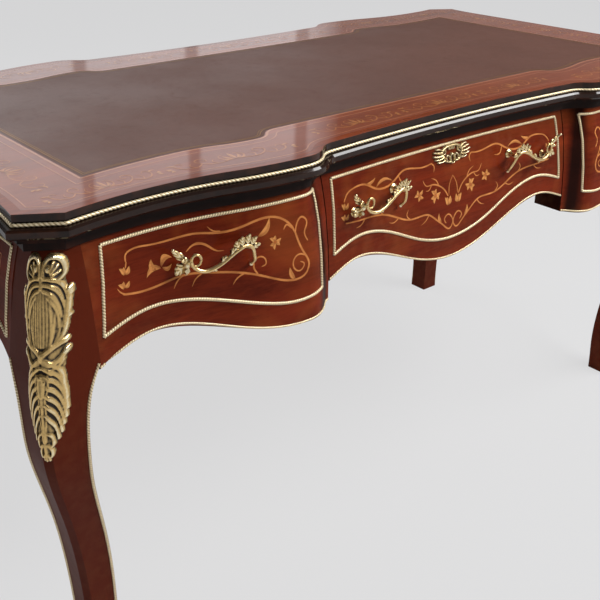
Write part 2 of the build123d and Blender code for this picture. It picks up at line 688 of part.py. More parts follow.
def drawer_box(name):
    """Sides, back and bottom of a drawer."""
    x_low, x_high = drawer_bay(name)
    y_low, y_high = -SEAT_Y, DRAWER_BACK_Y
    bottom_z = DRAWER_Z + DRAWER_BOTTOM_LIFT
    groove_x = (x_low + DRAWER_SIDE_T - GROOVE, x_high - DRAWER_SIDE_T + GROOVE)
    bottom = block(*groove_x, y_low, y_high - DRAWER_SIDE_T, bottom_z, bottom_z + DRAWER_BOTTOM_T)
    sides = [
        block(x_low, x_low + DRAWER_SIDE_T, y_low, y_high, DRAWER_Z, DRAWER_TOP_Z) - bottom,
        block(x_high - DRAWER_SIDE_T, x_high, y_low, y_high, DRAWER_Z, DRAWER_TOP_Z) - bottom,
    ]
    back = block(x_low + DRAWER_SIDE_T, x_high - DRAWER_SIDE_T, y_high - DRAWER_SIDE_T, y_high,
                 DRAWER_Z, DRAWER_TOP_Z)
    return sides, back, bottom


def make_drawers(frieze, skin):
    end = drawer_front(frieze, end_apron_curve())
    middle_apron = middle_curve(MIDDLE_APRON, STEP_SEAM_X - SEAM)
    middle = drawer_front(frieze, middle_apron)
    end_ends = [along_end(share) for share in END_BEAD_ENDS]
    end_trim = gilt_trims(skin, end_curve(END_BEAD), *end_ends, end_apron_curve(), "front")
    middle_end = MIDDLE_BEAD_END * STEP_SEAM_X
    middle_trim = gilt_trims(skin, middle_curve(MIDDLE_BEAD, STEP_SEAM_X), -middle_end, middle_end,
                             middle_apron, "front")
    end_pull, end_feet = trimmed_pull(-PULL_X, 1, frieze)
    mid_pull, mid_feet = trimmed_pull(-PULL_MIDDLE_X, 1, frieze)
    end_bolts = pull_bolts(end_feet)
    mid_bolts = pull_bolts(mid_feet)
    end = drill_for(end, end_feet)
    middle = drill_for(middle, mid_feet)
    middle = flip_x(drill_for(flip_x(middle), mid_feet))
    back_trims = [*end_trim, *middle_trim, *[flip_x(t) for t in end_trim]]
    oval = plate_prism(PLATE_CLEAR)
    middle_trim = only_solids(middle_trim[0] - oval) + middle_trim[1:]

    pieces = {
        "left": (end, end_trim, [end_pull], end_bolts),
        "centre": (middle - keyhole(-SEAT_Y), middle_trim, [mid_pull, flip_x(mid_pull)],
                   mid_bolts + [flip_x(bolt) for bolt in mid_bolts]),
        "right": (flip_x(end), [flip_x(t) for t in end_trim], [flip_x(end_pull)],
                  [flip_x(bolt) for bolt in end_bolts]),
    }
    for name, (front, trim, pulls, bolts) in pieces.items():
        sides, back, bottom = drawer_box(name)
        save(f"drawer_{name}_front", front)
        save(f"drawer_{name}_sides", *sides)
        save(f"drawer_{name}_back", back)
        save(f"drawer_{name}_bottom", bottom)
        save(f"drawer_{name}_gilt_trim", *trim)
        save(f"drawer_{name}_pull", *pulls)
        save(f"drawer_{name}_pull_bolts", *bolts)

    # The finished back repeats the front's three panels, fixed to the rear rails.
    save("back_panel_left", flip_y(end))
    save("back_panel_centre", flip_y(middle))
    save("back_panel_right", flip_y(flip_x(end)))
    save("back_gilt_trims", *[flip_y(t) for t in back_trims])
    save("back_pulls", *[flip_y(p) for _, _, pulls, _ in pieces.values() for p in pulls])
    save("back_pull_bolts", *[flip_y(b) for _, _, _, bolts in pieces.values() for b in bolts])


# ---------------------------------------------------------------- lock
def keyhole(y_back):
    """Round hole with a slot below it, through the middle front and its plate."""
    z = PLATE_Z - PLATE_H * 0.12
    hole = rod((0, -EAR_X, z), (0, 1, 0), KEYHOLE_R, EAR_X + y_back)
    slot = block(-KEYHOLE_R * 0.55, KEYHOLE_R * 0.55, -EAR_X, y_back, z - KEYHOLE_SLOT, z)
    return hole + slot


def plate_prism(grow):
    """Oval of the escutcheon, grown all round, through the middle front."""
    outline = scale(Circle(0.5), by=(PLATE_W + 2 * grow, PLATE_H + 2 * grow, 1))
    return extrude(Plane(origin=(0, 0, PLATE_Z), x_dir=(1, 0, 0), z_dir=(0, -1, 0)) * outline, EAR_X)


def make_lock():
    plate_skin = frieze_body(PLATE_T) - frieze_body(TRIM_SEAT)
    save("keyhole_escutcheon", (plate_skin & plate_prism(0)) - keyhole(0))

    bolt_y = -SEAT_Y + LOCK_T / 2
    half_bolt = (LOCK_BOLT_W / 2, LOCK_BOLT_T / 2)
    bolt = block(-half_bolt[0], half_bolt[0], bolt_y - half_bolt[1], bolt_y + half_bolt[1],
                 LOCK_BOLT_TOP_Z - LOCK_BOLT_H, LOCK_BOLT_TOP_Z)
    grow = LOCK_BOLT_CLEAR
    channel = block(-half_bolt[0] - grow, half_bolt[0] + grow, bolt_y - half_bolt[1] - grow,
                    bolt_y + half_bolt[1] + grow, LOCK_BOLT_TOP_Z - LOCK_BOLT_H - grow, HEIGHT)
    case = block(-LOCK_W / 2, LOCK_W / 2, -SEAT_Y, -SEAT_Y + LOCK_T, LOCK_TOP_Z - LOCK_H, LOCK_TOP_Z)
    save("lock_case", case - channel)
    save("lock_bolt", bolt)
    strike = block(-LOCK_BOLT_W / 2 - STRIKE_MARGIN, LOCK_BOLT_W / 2 + STRIKE_MARGIN,
                   bolt_y - half_bolt[1] - 2, bolt_y + half_bolt[1] + STRIKE_MARGIN,
                   TOP_RAIL_Z, TOP_RAIL_Z + STRIKE_T)
    pocket = block(-half_bolt[0] - 1, half_bolt[0] + 1, bolt_y - half_bolt[1] - 1, bolt_y + half_bolt[1] + 1,
                   0, LOCK_BOLT_TOP_Z + LOCK_THROW + 2)
    save("strike_plate", strike - pocket)
    return strike + pocket


# ---------------------------------------------------------------- carcass
def rail(y_face, z_low, z_high):
    """Rail between the legs, behind the front."""
    return block(-POST_X, POST_X, -y_face, -RAIL_BACK_Y, z_low, z_high)


def make_rails(strike_pocket):
    front_top = rail(RAIL_Y, TOP_RAIL_Z, PANEL_BOTTOM_Z)
    rear_top = rail(SEAT_Y, TOP_RAIL_Z, PANEL_BOTTOM_Z)
    for x, y in top_screws():
        if y < 0:
            hole = rod((x, y, TOP_RAIL_Z), (0, 0, 1), SCREW_R + ROPE_CLEAR, PANEL_BOTTOM_Z - TOP_RAIL_Z)
            front_top -= hole
            rear_top -= hole
    save("front_top_rail", front_top - strike_pocket)
    save("front_lower_rail", rail(RAIL_Y, LOWER_RAIL_Z, RUNNER_TOP_Z))
    save("rear_top_rail", flip_y(rear_top))
    save("rear_lower_rail", flip_y(rail(SEAT_Y, LOWER_RAIL_Z, RUNNER_TOP_Z)))

    inner = PARTITION_X - PARTITION_T / 2
    outer = PARTITION_X + PARTITION_T / 2
    front_stile = block(-outer, -inner, -RAIL_Y, -RAIL_BACK_Y, RUNNER_TOP_Z, TOP_RAIL_Z)
    rear_stile = block(-outer, -inner, RAIL_BACK_Y, SEAT_Y, RUNNER_TOP_Z, TOP_RAIL_Z)
    save("frieze_stiles", front_stile, flip_x(front_stile), rear_stile, flip_x(rear_stile))
    partition = block(-outer, -inner, -RAIL_BACK_Y, RAIL_BACK_Y, LOWER_RAIL_Z, PANEL_BOTTOM_Z)
    save("partition_left", partition)
    save("partition_right", flip_x(partition))


def make_slides():
    """Runners under the drawer sides, guides beside them and kickers over them."""
    inner = PARTITION_X - PARTITION_T / 2
    outer = PARTITION_X + PARTITION_T / 2
    walls = {"left": (-SIDE_SEAT_X, -outer), "centre": (-inner, inner)}
    runners, guides, kickers = [], [], []
    for name, bay_walls in walls.items():
        for wall, side in zip(bay_walls, drawer_bay(name)):
            turn = 1 if side > wall else -1
            edges = sorted((wall, side + turn * RUNNER_W))
            guide_edges = sorted((wall, side - turn * GUIDE_CLEAR))
            runners.append(block(*edges, -RAIL_BACK_Y, RAIL_BACK_Y, LOWER_RAIL_Z, RUNNER_TOP_Z))
            kickers.append(block(*edges, -RAIL_BACK_Y, RAIL_BACK_Y, TOP_RAIL_Z, CORNICE_BOTTOM_Z))
            guides.append(block(*guide_edges, -RAIL_BACK_Y, RAIL_BACK_Y, RUNNER_TOP_Z, RUNNER_TOP_Z + GUIDE_H))
    for name, strips in {"runners": runners, "guides": guides, "kickers": kickers}.items():
        save(f"drawer_{name}", *strips, *[flip_x(strip) for strip in strips[:2]])


def main():
    frieze = frieze_body(0)
    skin = frieze_body(BEAD_PROUD) - frieze_body(TRIM_SEAT)
    make_top()
    make_edge_mouldings()
    make_top_screws()
    make_legs()
    make_drawers(frieze, skin)
    apron = side_apron(frieze)
    save("side_apron_left", apron)
    save("side_apron_right", flip_x(apron))
    side_end = SIDE_BEAD_END * POST_Y
    trims = gilt_trims(skin, middle_curve(SIDE_BEAD, POST_Y), -side_end, side_end,
                       middle_curve(SIDE_APRON, POST_Y), "side")
    save("side_gilt_trim_left", *trims)
    save("side_gilt_trim_right", *[flip_x(t) for t in trims])
    make_rails(make_lock())
    make_slides()


main()
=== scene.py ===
"""Looks of a writing table in the Louis XV style: veneers, marquetry, leather, trims and gilt mounts."""

import json
import logging
import math
from dataclasses import dataclass
from enum import Enum
from typing import Callable, Iterable, Sequence

import bpy
import numpy as np
from mathutils import Matrix, Vector
from mathutils.bvhtree import BVHTree

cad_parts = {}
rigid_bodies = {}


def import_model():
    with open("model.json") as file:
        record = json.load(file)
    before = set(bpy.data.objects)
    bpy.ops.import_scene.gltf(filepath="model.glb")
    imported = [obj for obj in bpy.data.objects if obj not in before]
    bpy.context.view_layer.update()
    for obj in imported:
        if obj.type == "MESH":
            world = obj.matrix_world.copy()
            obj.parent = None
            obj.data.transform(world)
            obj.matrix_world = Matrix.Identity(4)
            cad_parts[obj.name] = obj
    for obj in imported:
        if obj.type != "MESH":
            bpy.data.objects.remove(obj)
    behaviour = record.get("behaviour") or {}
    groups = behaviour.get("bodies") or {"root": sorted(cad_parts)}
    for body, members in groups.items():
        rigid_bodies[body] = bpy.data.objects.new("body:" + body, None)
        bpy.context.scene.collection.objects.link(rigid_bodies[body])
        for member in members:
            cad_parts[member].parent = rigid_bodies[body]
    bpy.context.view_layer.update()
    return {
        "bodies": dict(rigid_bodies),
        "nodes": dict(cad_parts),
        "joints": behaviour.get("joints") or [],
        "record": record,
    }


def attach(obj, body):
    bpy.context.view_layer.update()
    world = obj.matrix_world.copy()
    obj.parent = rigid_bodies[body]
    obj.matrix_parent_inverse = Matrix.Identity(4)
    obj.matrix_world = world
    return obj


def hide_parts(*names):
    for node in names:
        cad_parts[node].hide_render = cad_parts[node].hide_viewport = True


LOG = logging.getLogger("writing_table")
MM = 0.001
Point2 = tuple[float, float]
Colour = tuple[float, float, float]
Socket = bpy.types.NodeSocket
Node = bpy.types.Node
Tree = bpy.types.NodeTree
Material = bpy.types.Material
Solid = bpy.types.Object
Facing = Callable[[float, float], tuple[Vector, Vector]]
Move = Callable[[Point2], Point2]
Field = Callable[[np.ndarray, np.ndarray], np.ndarray]


def srgb(red: int, green: int, blue: int) -> Colour:
    """Linear colour of a display colour, each of whose values is 0 to 255."""
    values = [value / 255 for value in (red, green, blue)]
    return tuple(v / 12.92 if v <= 0.04045 else ((v + 0.055) / 1.055) ** 2.4 for v in values)


# ---- curves
def spline(points: Sequence[Sequence[float]], step: float) -> list[Vector]:
    """A natural cubic spline through points, in even steps.

    Args:
        points: The points that the curve goes through, in two or three numbers each.
        step: Distance between the samples.

    Returns:
        The samples, in order.
    """
    knots = np.array([(*p, 0.0) if len(p) == 2 else tuple(p) for p in points], float)
    chords = np.maximum(np.linalg.norm(np.diff(knots, axis=0), axis=1), 1e-6)
    count = len(knots)
    rows, right = np.zeros((count, count)), np.zeros((count, 3))
    rows[0, 0] = rows[-1, -1] = 1.0
    for k in range(1, count - 1):
        rows[k, k - 1:k + 2] = chords[k - 1], 2 * (chords[k - 1] + chords[k]), chords[k]
        right[k] = 6 * ((knots[k + 1] - knots[k]) / chords[k] - (knots[k] - knots[k - 1]) / chords[k - 1])
    bends = np.linalg.solve(rows, right)
    fine = []
    for k, h in enumerate(chords):
        for q in np.linspace(0, 1, 17)[:-1]:
            p = 1 - q
            fine.append(Vector(p * knots[k] + q * knots[k + 1]
                               + h * h / 6 * ((p**3 - p) * bends[k] + (q**3 - q) * bends[k + 1])))
    fine.append(Vector(knots[-1]))
    return even_steps(fine, step)


def even_steps(points: Sequence[Vector], step: float) -> list[Vector]:
    """Resamples a polyline in even steps.

    Args:
        points: The polyline.
        step: Distance between the samples, adjusted so that the last sample is the end.

    Returns:
        The samples, the two ends included.
    """
    lengths = [0.0]
    for first, second in zip(points, points[1:]):
        lengths.append(lengths[-1] + (second - first).length)
    count = max(2, round(lengths[-1] / step))
    samples, at = [], 0
    for index in range(count + 1):
        wanted = lengths[-1] * index / count
        while at < len(points) - 2 and lengths[at + 1] < wanted:
            at += 1
        run = lengths[at + 1] - lengths[at] or 1e-9
        samples.append(points[at].lerp(points[at + 1], (wanted - lengths[at]) / run))
    return samples


def tangents(path: Sequence[Vector], closed: bool = False) -> list[Vector]:
    """Unit directions along a path.

    Args:
        path: The path's samples.
        closed: Whether the last sample meets the first.

    Returns:
        One direction for each sample.
    """
    last = len(path) - 1
    found = []
    for index in range(len(path)):
        before = path[index - 1] if index else (path[last - 1] if closed else path[0])
        after = path[index + 1] if index < last else (path[1] if closed else path[last])
        found.append((after - before).normalized())
    return found


@dataclass(frozen=True)
class TopPlan:
    """Plan of the top, on the line of its rope trim, in millimetres."""

    centre_depth: float = 347.0
    step_depth: float = 359.0
    step_x: float = 296.0
    block_depth: float = 388.0
    nose_r: float = 58.0
    cove_r: float = 40.0
    waist_depth: float = 361.0
    waist_x: float = 603.0
    ear_depth: float = 373.0
    ear_x: float = 780.0
    cant_x: float = 54.0
    cant_y: float = 33.0
    side_x: float = 773.0
    side_straight_y: float = 250.0
    arc_step: float = 2.5

    def _swept(self, centre: Vector, start: Vector, end: Vector) -> list[Vector]:
        """Points on the short arc about centre from start to end.

        Args:
            centre: The arc's centre.
            start: Its first point.
            end: Its last point.

        Returns:
            The points, with both ends.
        """
        first = math.atan2(start.y - centre.y, start.x - centre.x)
        turn = math.atan2(end.y - centre.y, end.x - centre.x) - first
        turn = (turn + math.pi) % (2 * math.pi) - math.pi
        reach = (start - centre).length
        count = max(3, int(abs(turn) * reach / self.arc_step))
        angles = [first + turn * i / count for i in range(count + 1)]
        return [centre + Vector((math.cos(a), math.sin(a))) * reach for a in angles]

    def _crossing(self, point: Vector, along: Vector, centre: Vector, radius: float) -> Vector:
        """The crossing of a line and a circle that is closest to the line's point.

        Args:
            point: A point on the line.
            along: The line's direction.
            centre: The circle's centre.
            radius: The circle's radius.

        Returns:
            The crossing.
        """
        along = along.normalized()
        offset = point - centre
        b = offset.dot(along)
        root = math.sqrt(max(0.0, b * b - offset.dot(offset) + radius * radius))
        return min((point + along * (-b + s * root) for s in (1, -1)), key=lambda p: (p - point).length)

    def long_edge(self, inset: float) -> list[Vector]:
        """Points of half a long edge, from its middle to the waist of an end block.

        Args:
            inset: How far the line lies inside the plan's line.

        Returns:
            The points, in order.
        """
        middle_r = (self.step_x**2 + (self.step_depth - self.centre_depth)**2) / (
            2 * (self.step_depth - self.centre_depth))
        middle_o = Vector((0.0, self.centre_depth + middle_r))
        step = Vector((self.step_x, self.step_depth))
        outward = (middle_o - step).normalized()
        cove_o = step + outward * self.cove_r
        nose_y = self.block_depth - self.nose_r
        crown_x = cove_o.x + math.sqrt((self.nose_r + self.cove_r)**2 - (cove_o.y - nose_y)**2)
        nose_o = Vector((crown_x, nose_y))
        sway = self.block_depth - self.waist_depth
        sway_r = ((self.waist_x - crown_x)**2 + sway**2) / (4 * sway)
        crown_o = Vector((crown_x, self.block_depth - sway_r))
        waist_o = Vector((self.waist_x, self.waist_depth + sway_r))
        to_cove = cove_o - outward * (self.cove_r + inset)
        to_nose = nose_o + (cove_o - nose_o).normalized() * (self.nose_r - inset)
        crown = Vector((crown_x, self.block_depth - inset))
        sway_mid = crown_o + (waist_o - crown_o).normalized() * (sway_r - inset)
        waist = Vector((self.waist_x, self.waist_depth - inset))
        points = self._swept(middle_o, Vector((0.0, self.centre_depth - inset)), to_cove)
        for centre, start, end in ((cove_o, to_cove, to_nose), (nose_o, to_nose, crown),
                                   (crown_o, crown, sway_mid), (waist_o, sway_mid, waist)):
            points += self._swept(centre, start, end)[1:]
        return points

    def short_edge(self, inset: float, waist: Vector) -> list[Vector]:
        """Points from the waist round the corner to the middle of the side.

        Args:
            inset: How far the line lies inside the plan's line.
            waist: Where the long edge ends.

        Returns:
            The points after the waist, in order.
        """
        ear = Vector((self.ear_x - self.cant_x, self.ear_depth))
        horn = Vector((self.ear_x, self.ear_depth - self.cant_y))
        along = (horn - ear).normalized()
        inward = Vector((-self.cant_y, -self.cant_x)).normalized()
        rise = self.ear_depth - self.waist_depth
        ear_r = ((ear.x - self.waist_x)**2 + rise**2) / (2 * rise)
        ear_o = Vector((self.waist_x, self.waist_depth + ear_r))
        run = horn.y - self.side_straight_y
        side_r = (run**2 + (self.ear_x - self.side_x)**2) / (2 * (self.ear_x - self.side_x))
        side_o = Vector((self.side_x + side_r, self.side_straight_y))
        ear_end = self._crossing(ear + inward * inset, along, ear_o, ear_r + inset)
        horn_end = self._crossing(horn + inward * inset, along, side_o, side_r + inset)
        side_start = Vector((self.side_x - inset, self.side_straight_y))
        return (self._swept(ear_o, waist, ear_end)[1:] + [horn_end]
                + self._swept(side_o, horn_end, side_start)[1:] + [Vector((self.side_x - inset, 0.0))])

    def quarter(self, inset: float) -> list[Vector]:
        """Points of one quarter, from the middle of the long edge to the middle of the side."""
        points = self.long_edge(inset)
        return points + self.short_edge(inset, points[-1])

    def outline(self, inset: float, step: float) -> list[Vector]:
        """The whole line at an inset, counterclockwise, in even steps, its last point being its first.

        Args:
            inset: How far the line lies inside the rope's line.
            step: Distance between the samples.

        Returns:
            The samples, as points with no height.
        """
        quarter = self.quarter(inset)
        loop = []
        for sx, sy in ((1, 1), (-1, 1), (-1, -1), (1, -1)):
            part = [Vector((p.x * sx, p.y * sy, 0.0)) for p in quarter]
            loop += (part[::-1] if sx * sy > 0 else part)[:-1]
        return even_steps(loop + [loop[0]], step)


@dataclass(frozen=True)
class LeatherPlan(TopPlan):
    """Plan of the leather, whose corners are square."""

    centre_depth: float = 249.0
    step_depth: float = 251.0
    step_x: float = 318.0
    block_depth: float = 277.0
    nose_r: float = 30.0
    cove_r: float = 34.0
    waist_depth: float = 260.0
    waist_x: float = 500.0
    ear_depth: float = 272.0
    ear_x: float = 652.0

    def short_edge(self, inset: float, waist: Vector) -> list[Vector]:
        """Points from the waist to the square corner and on to the middle of the side.

        Args:
            inset: How far the line lies inside the plan's line.
            waist: The last point of the long edge.

        Returns:
            The points after the waist.
        """
        rise = self.ear_depth - self.waist_depth
        ear_r = ((self.ear_x - self.waist_x)**2 + rise**2) / (2 * rise)
        ear_o = Vector((self.waist_x, self.waist_depth + ear_r))
        end_x = self.ear_x - inset
        corner = Vector((end_x, ear_o.y - math.sqrt((ear_r + inset)**2 - (end_x - self.waist_x)**2)))
        return self._swept(ear_o, waist, corner)[1:] + [Vector((end_x, 0.0))]


# ---- meshes
class Work:
    """Collects the vertices and faces of one piece, in millimetres."""

    def __init__(self) -> None:
        """Starts with nothing."""
        self.points: list[Vector] = []
        self.faces: list[tuple[int, ...]] = []
        self.relief: list[float] = []
        self.hue: list[float] = []

    def grid(self, rows: Sequence[Sequence[Vector]], relief: Callable[[int, int], float] = lambda r, c: 1.0,
             hue: float = 0.5, round_rows: bool = False, round_columns: bool = False) -> None:
        """Adds a sheet of four-sided faces.

        Args:
            rows: The sheet's points, row by row.
            relief: Gives a point's relief, 0 in a hollow and 1 on a crest, from its row and column.
            hue: One value for the whole sheet, for differences from piece to piece.
            round_rows: Whether the last row joins the first.
            round_columns: Whether each row's last point joins its first.
        """
        start, width, height = len(self.points), len(rows[0]), len(rows)
        for r, row in enumerate(rows):
            for c, point in enumerate(row):
                self.points.append(point)
                self.relief.append(relief(r, c))
                self.hue.append(hue)
        for r in range(height if round_rows else height - 1):
            for c in range(width if round_columns else width - 1):
                r2, c2 = (r + 1) % height, (c + 1) % width
                self.faces.append((start + r * width + c, start + r * width + c2,
                                   start + r2 * width + c2, start + r2 * width + c))

    def fan(self, rim: Sequence[Vector], centre: Vector) -> None:
        """Closes a rim with three-sided faces that meet at its centre.

        Args:
            rim: The rim's points in order.
            centre: Where the faces meet.
        """
        start, count = len(self.points), len(rim)
        self.points += [*rim, centre]
        self.relief += [1.0] * (count + 1)
        self.hue += [0.5] * (count + 1)
        self.faces += [(start + k, start + (k + 1) % count, start + count) for k in range(count)]

    def tube(self, path: Sequence[Vector], radius: Callable[[float, float], float], sides: int,
             up: Vector = Vector((0, 0, 1)), closed: bool = False,
             relief: Callable[[float, float], float] = lambda share, angle: 1.0) -> None:
        """Adds a tube along a path, with closed ends unless the path is closed.

        Args:
            path: The tube's middle line.
            radius: Gives the radius from the share of the path and the angle round it, from up.
            sides: Points round the tube.
            up: The direction that angle 0 faces.
            closed: Whether the path's last point meets its first.
            relief: Gives the relief from the same two values.
        """
        path = list(path[:-1]) if closed else list(path)
        ways = tangents(path + [path[0]] if closed else path, closed)
        angles = [2 * math.pi * k / sides for k in range(sides)]
        rows, lows = [], []
        for index, (point, way) in enumerate(zip(path, ways)):
            share = index / max(1, len(path) - 1)
            side = way.cross(up).normalized()
            above = side.cross(way).normalized()
            spokes = [above * math.cos(a) + side * math.sin(a) for a in angles]
            rows.append([point + spoke * radius(share, a) for spoke, a in zip(spokes, angles)])
            lows.append([relief(share, a) for a in angles])
        self.grid(rows, lambda r, c: lows[r][c], round_rows=closed, round_columns=True)
        if not closed:
            self.fan(rows[0][::-1], path[0])
            self.fan(rows[-1], path[-1])

    def mirrored(self, sx: int = 1, sy: int = 1) -> "Work":
        """A copy turned over across the x or y plane.

        Args:
            sx: -1 where x is turned over.
            sy: -1 where y is turned over.

        Returns:
            The copy.
        """
        other = Work()
        other.points = [Vector((p.x * sx, p.y * sy, p.z)) for p in self.points]
        other.faces = list(self.faces) if sx * sy > 0 else [face[::-1] for face in self.faces]
        other.relief, other.hue = list(self.relief), list(self.hue)
        return other

    def join(self, other: "Work") -> "Work":
        """Adds another piece's mesh to this one.

        Args:
            other: The piece that is added.

        Returns:
            This piece.
        """
        start = len(self.points)
        self.points += other.points
        self.faces += [tuple(start + i for i in face) for face in other.faces]
        self.relief += other.relief
        self.hue += other.hue
        return self

    def piece(self, name: str, finish: Material, body: str, slot: str,
              nodes: Iterable[str] = ()) -> Solid:
        """Makes the object and puts it on its body.

        Args:
            name: The piece's name.
            finish: Its material.
            body: The body that it rides on.
            slot: Not used.
            nodes: The nodes that it stands for.

        Returns:
            The object.
        """
        mesh = bpy.data.meshes.new(name)
        mesh.from_pydata([p * MM for p in self.points], [], self.faces)
        for label, values in (("relief", self.relief), ("hue", self.hue)):
            attribute = mesh.attributes.new(label, "FLOAT", "POINT")
            attribute.data.foreach_set("value", np.array(values, np.float32))
        mesh.shade_smooth()
        mesh.materials.append(finish)
        mesh.update()
        made = bpy.data.objects.new(name, mesh)
        bpy.context.scene.collection.objects.link(made)
        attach(made, body)
        if nodes:
            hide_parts(*nodes)
        LOG.info("%s: %d faces, on %s", name, len(self.faces), body)
        return made


# ---- shader groups
class NodeKit:
    """Adds nodes to one node tree and links them."""

    def __init__(self, tree: Tree) -> None:
        """Works on tree."""
        self.tree = tree

    def add(self, kind: str, settings: dict | None = None, **inputs: object) -> Node:
        """Adds a node.

        Args:
            kind: The node's type name, without its ShaderNode prefix.
            settings: Values of the node's own properties.
            inputs: Sockets or values for its inputs, as in feed.

        Returns:
            The node.
        """
        node = self.tree.nodes.new("ShaderNode" + kind)
        for key, value in (settings or {}).items():
            setattr(node, key, value)
        self.feed(node, **inputs)
        return node

    def feed(self, node: Node, **inputs: Socket | float | Colour) -> None:
        """Links or sets a node's inputs.

        Args:
            node: The node.
            inputs: Sockets or values, by name with _ for a space, or by number as i0, i1.
        """
        for key, value in inputs.items():
            number = key[0] == "i" and key[1:].isdigit()
            target = node.inputs[int(key[1:]) if number else key.replace("_", " ")]
            if isinstance(value, Socket):
                self.tree.links.new(value, target)
            elif isinstance(value, (tuple, list)) and len(value) == 3 and target.type == "RGBA":
                target.default_value = (*value, 1.0)
            else:
                target.default_value = value

    def math(self, operation: str, first: Socket | float, second: Socket | float = 0.0,
             clamp: bool = False) -> Socket:
        """Result of a sum, product or other operation on two values."""
        return self.add("Math", {"operation": operation, "use_clamp": clamp}, i0=first, i1=second).outputs[0]

    def mix(self, share: Socket | float, first: Socket | Colour, second: Socket | Colour,
            blend: str = "MIX") -> Socket:
        """Mixture of two colours.

        Args:
            share: How much of the second colour is taken.
            first: The first colour.
            second: The second colour.
            blend: How the second is laid on the first.

        Returns:
            The mixed colour.
        """
        node = self.tree.nodes.new("ShaderNodeMix")
        node.data_type, node.blend_type = "RGBA", blend
        for number, value in ((0, share), (6, first), (7, second)):
            if isinstance(value, Socket):
                self.tree.links.new(value, node.inputs[number])
            else:
                node.inputs[number].default_value = (*value, 1.0) if number else value
        return node.outputs[2]

    def spread(self, value: Socket, low: Socket | float, high: Socket | float, to_low: float = 0.0,
               to_high: float = 1.0) -> Socket:
        """A value taken from one range to another, and kept in it."""
        return self.add("MapRange", {"clamp": True}, i0=value, i1=low, i2=high, i3=to_low,
                        i4=to_high).outputs[0]

    def place(self) -> Socket:
        """Where a point lies on its object."""
        return self.add("TexCoord").outputs["Object"]

    def noise(self, place: Socket, scale: Socket | float, **shape: float) -> Socket:
        """Cloudy noise over a place."""
        return self.add("TexNoise", Vector=place, Scale=scale, **shape).outputs[0]

    def attribute(self, name: str) -> Socket:
        """A value that the mesh carries at each point."""
        return self.add("Attribute", {"attribute_name": name}).outputs["Fac"]

    def group(self, tree: Tree, **inputs: Socket | float | Colour) -> Node:
        """Adds a shader group."""
        return self.add("Group", {"node_tree": tree}, **inputs)

    def tilt(self, shader: Node, strength: float, distance: float, height: Socket) -> None:
        """Gives a shader a bump."""
        bump = self.add("Bump", Strength=strength, Distance=distance, Height=height)
        self.feed(shader, Normal=bump.outputs["Normal"])

    def seen(self) -> Socket:
        """1 for rays from the camera, in a mirror or through glass, and 0 for those that carry light."""
        rays = self.add("LightPath").outputs
        return self.math("ADD", self.math("ADD", rays["Is Camera Ray"], rays["Is Glossy Ray"]),
                         rays["Is Transmission Ray"], clamp=True)


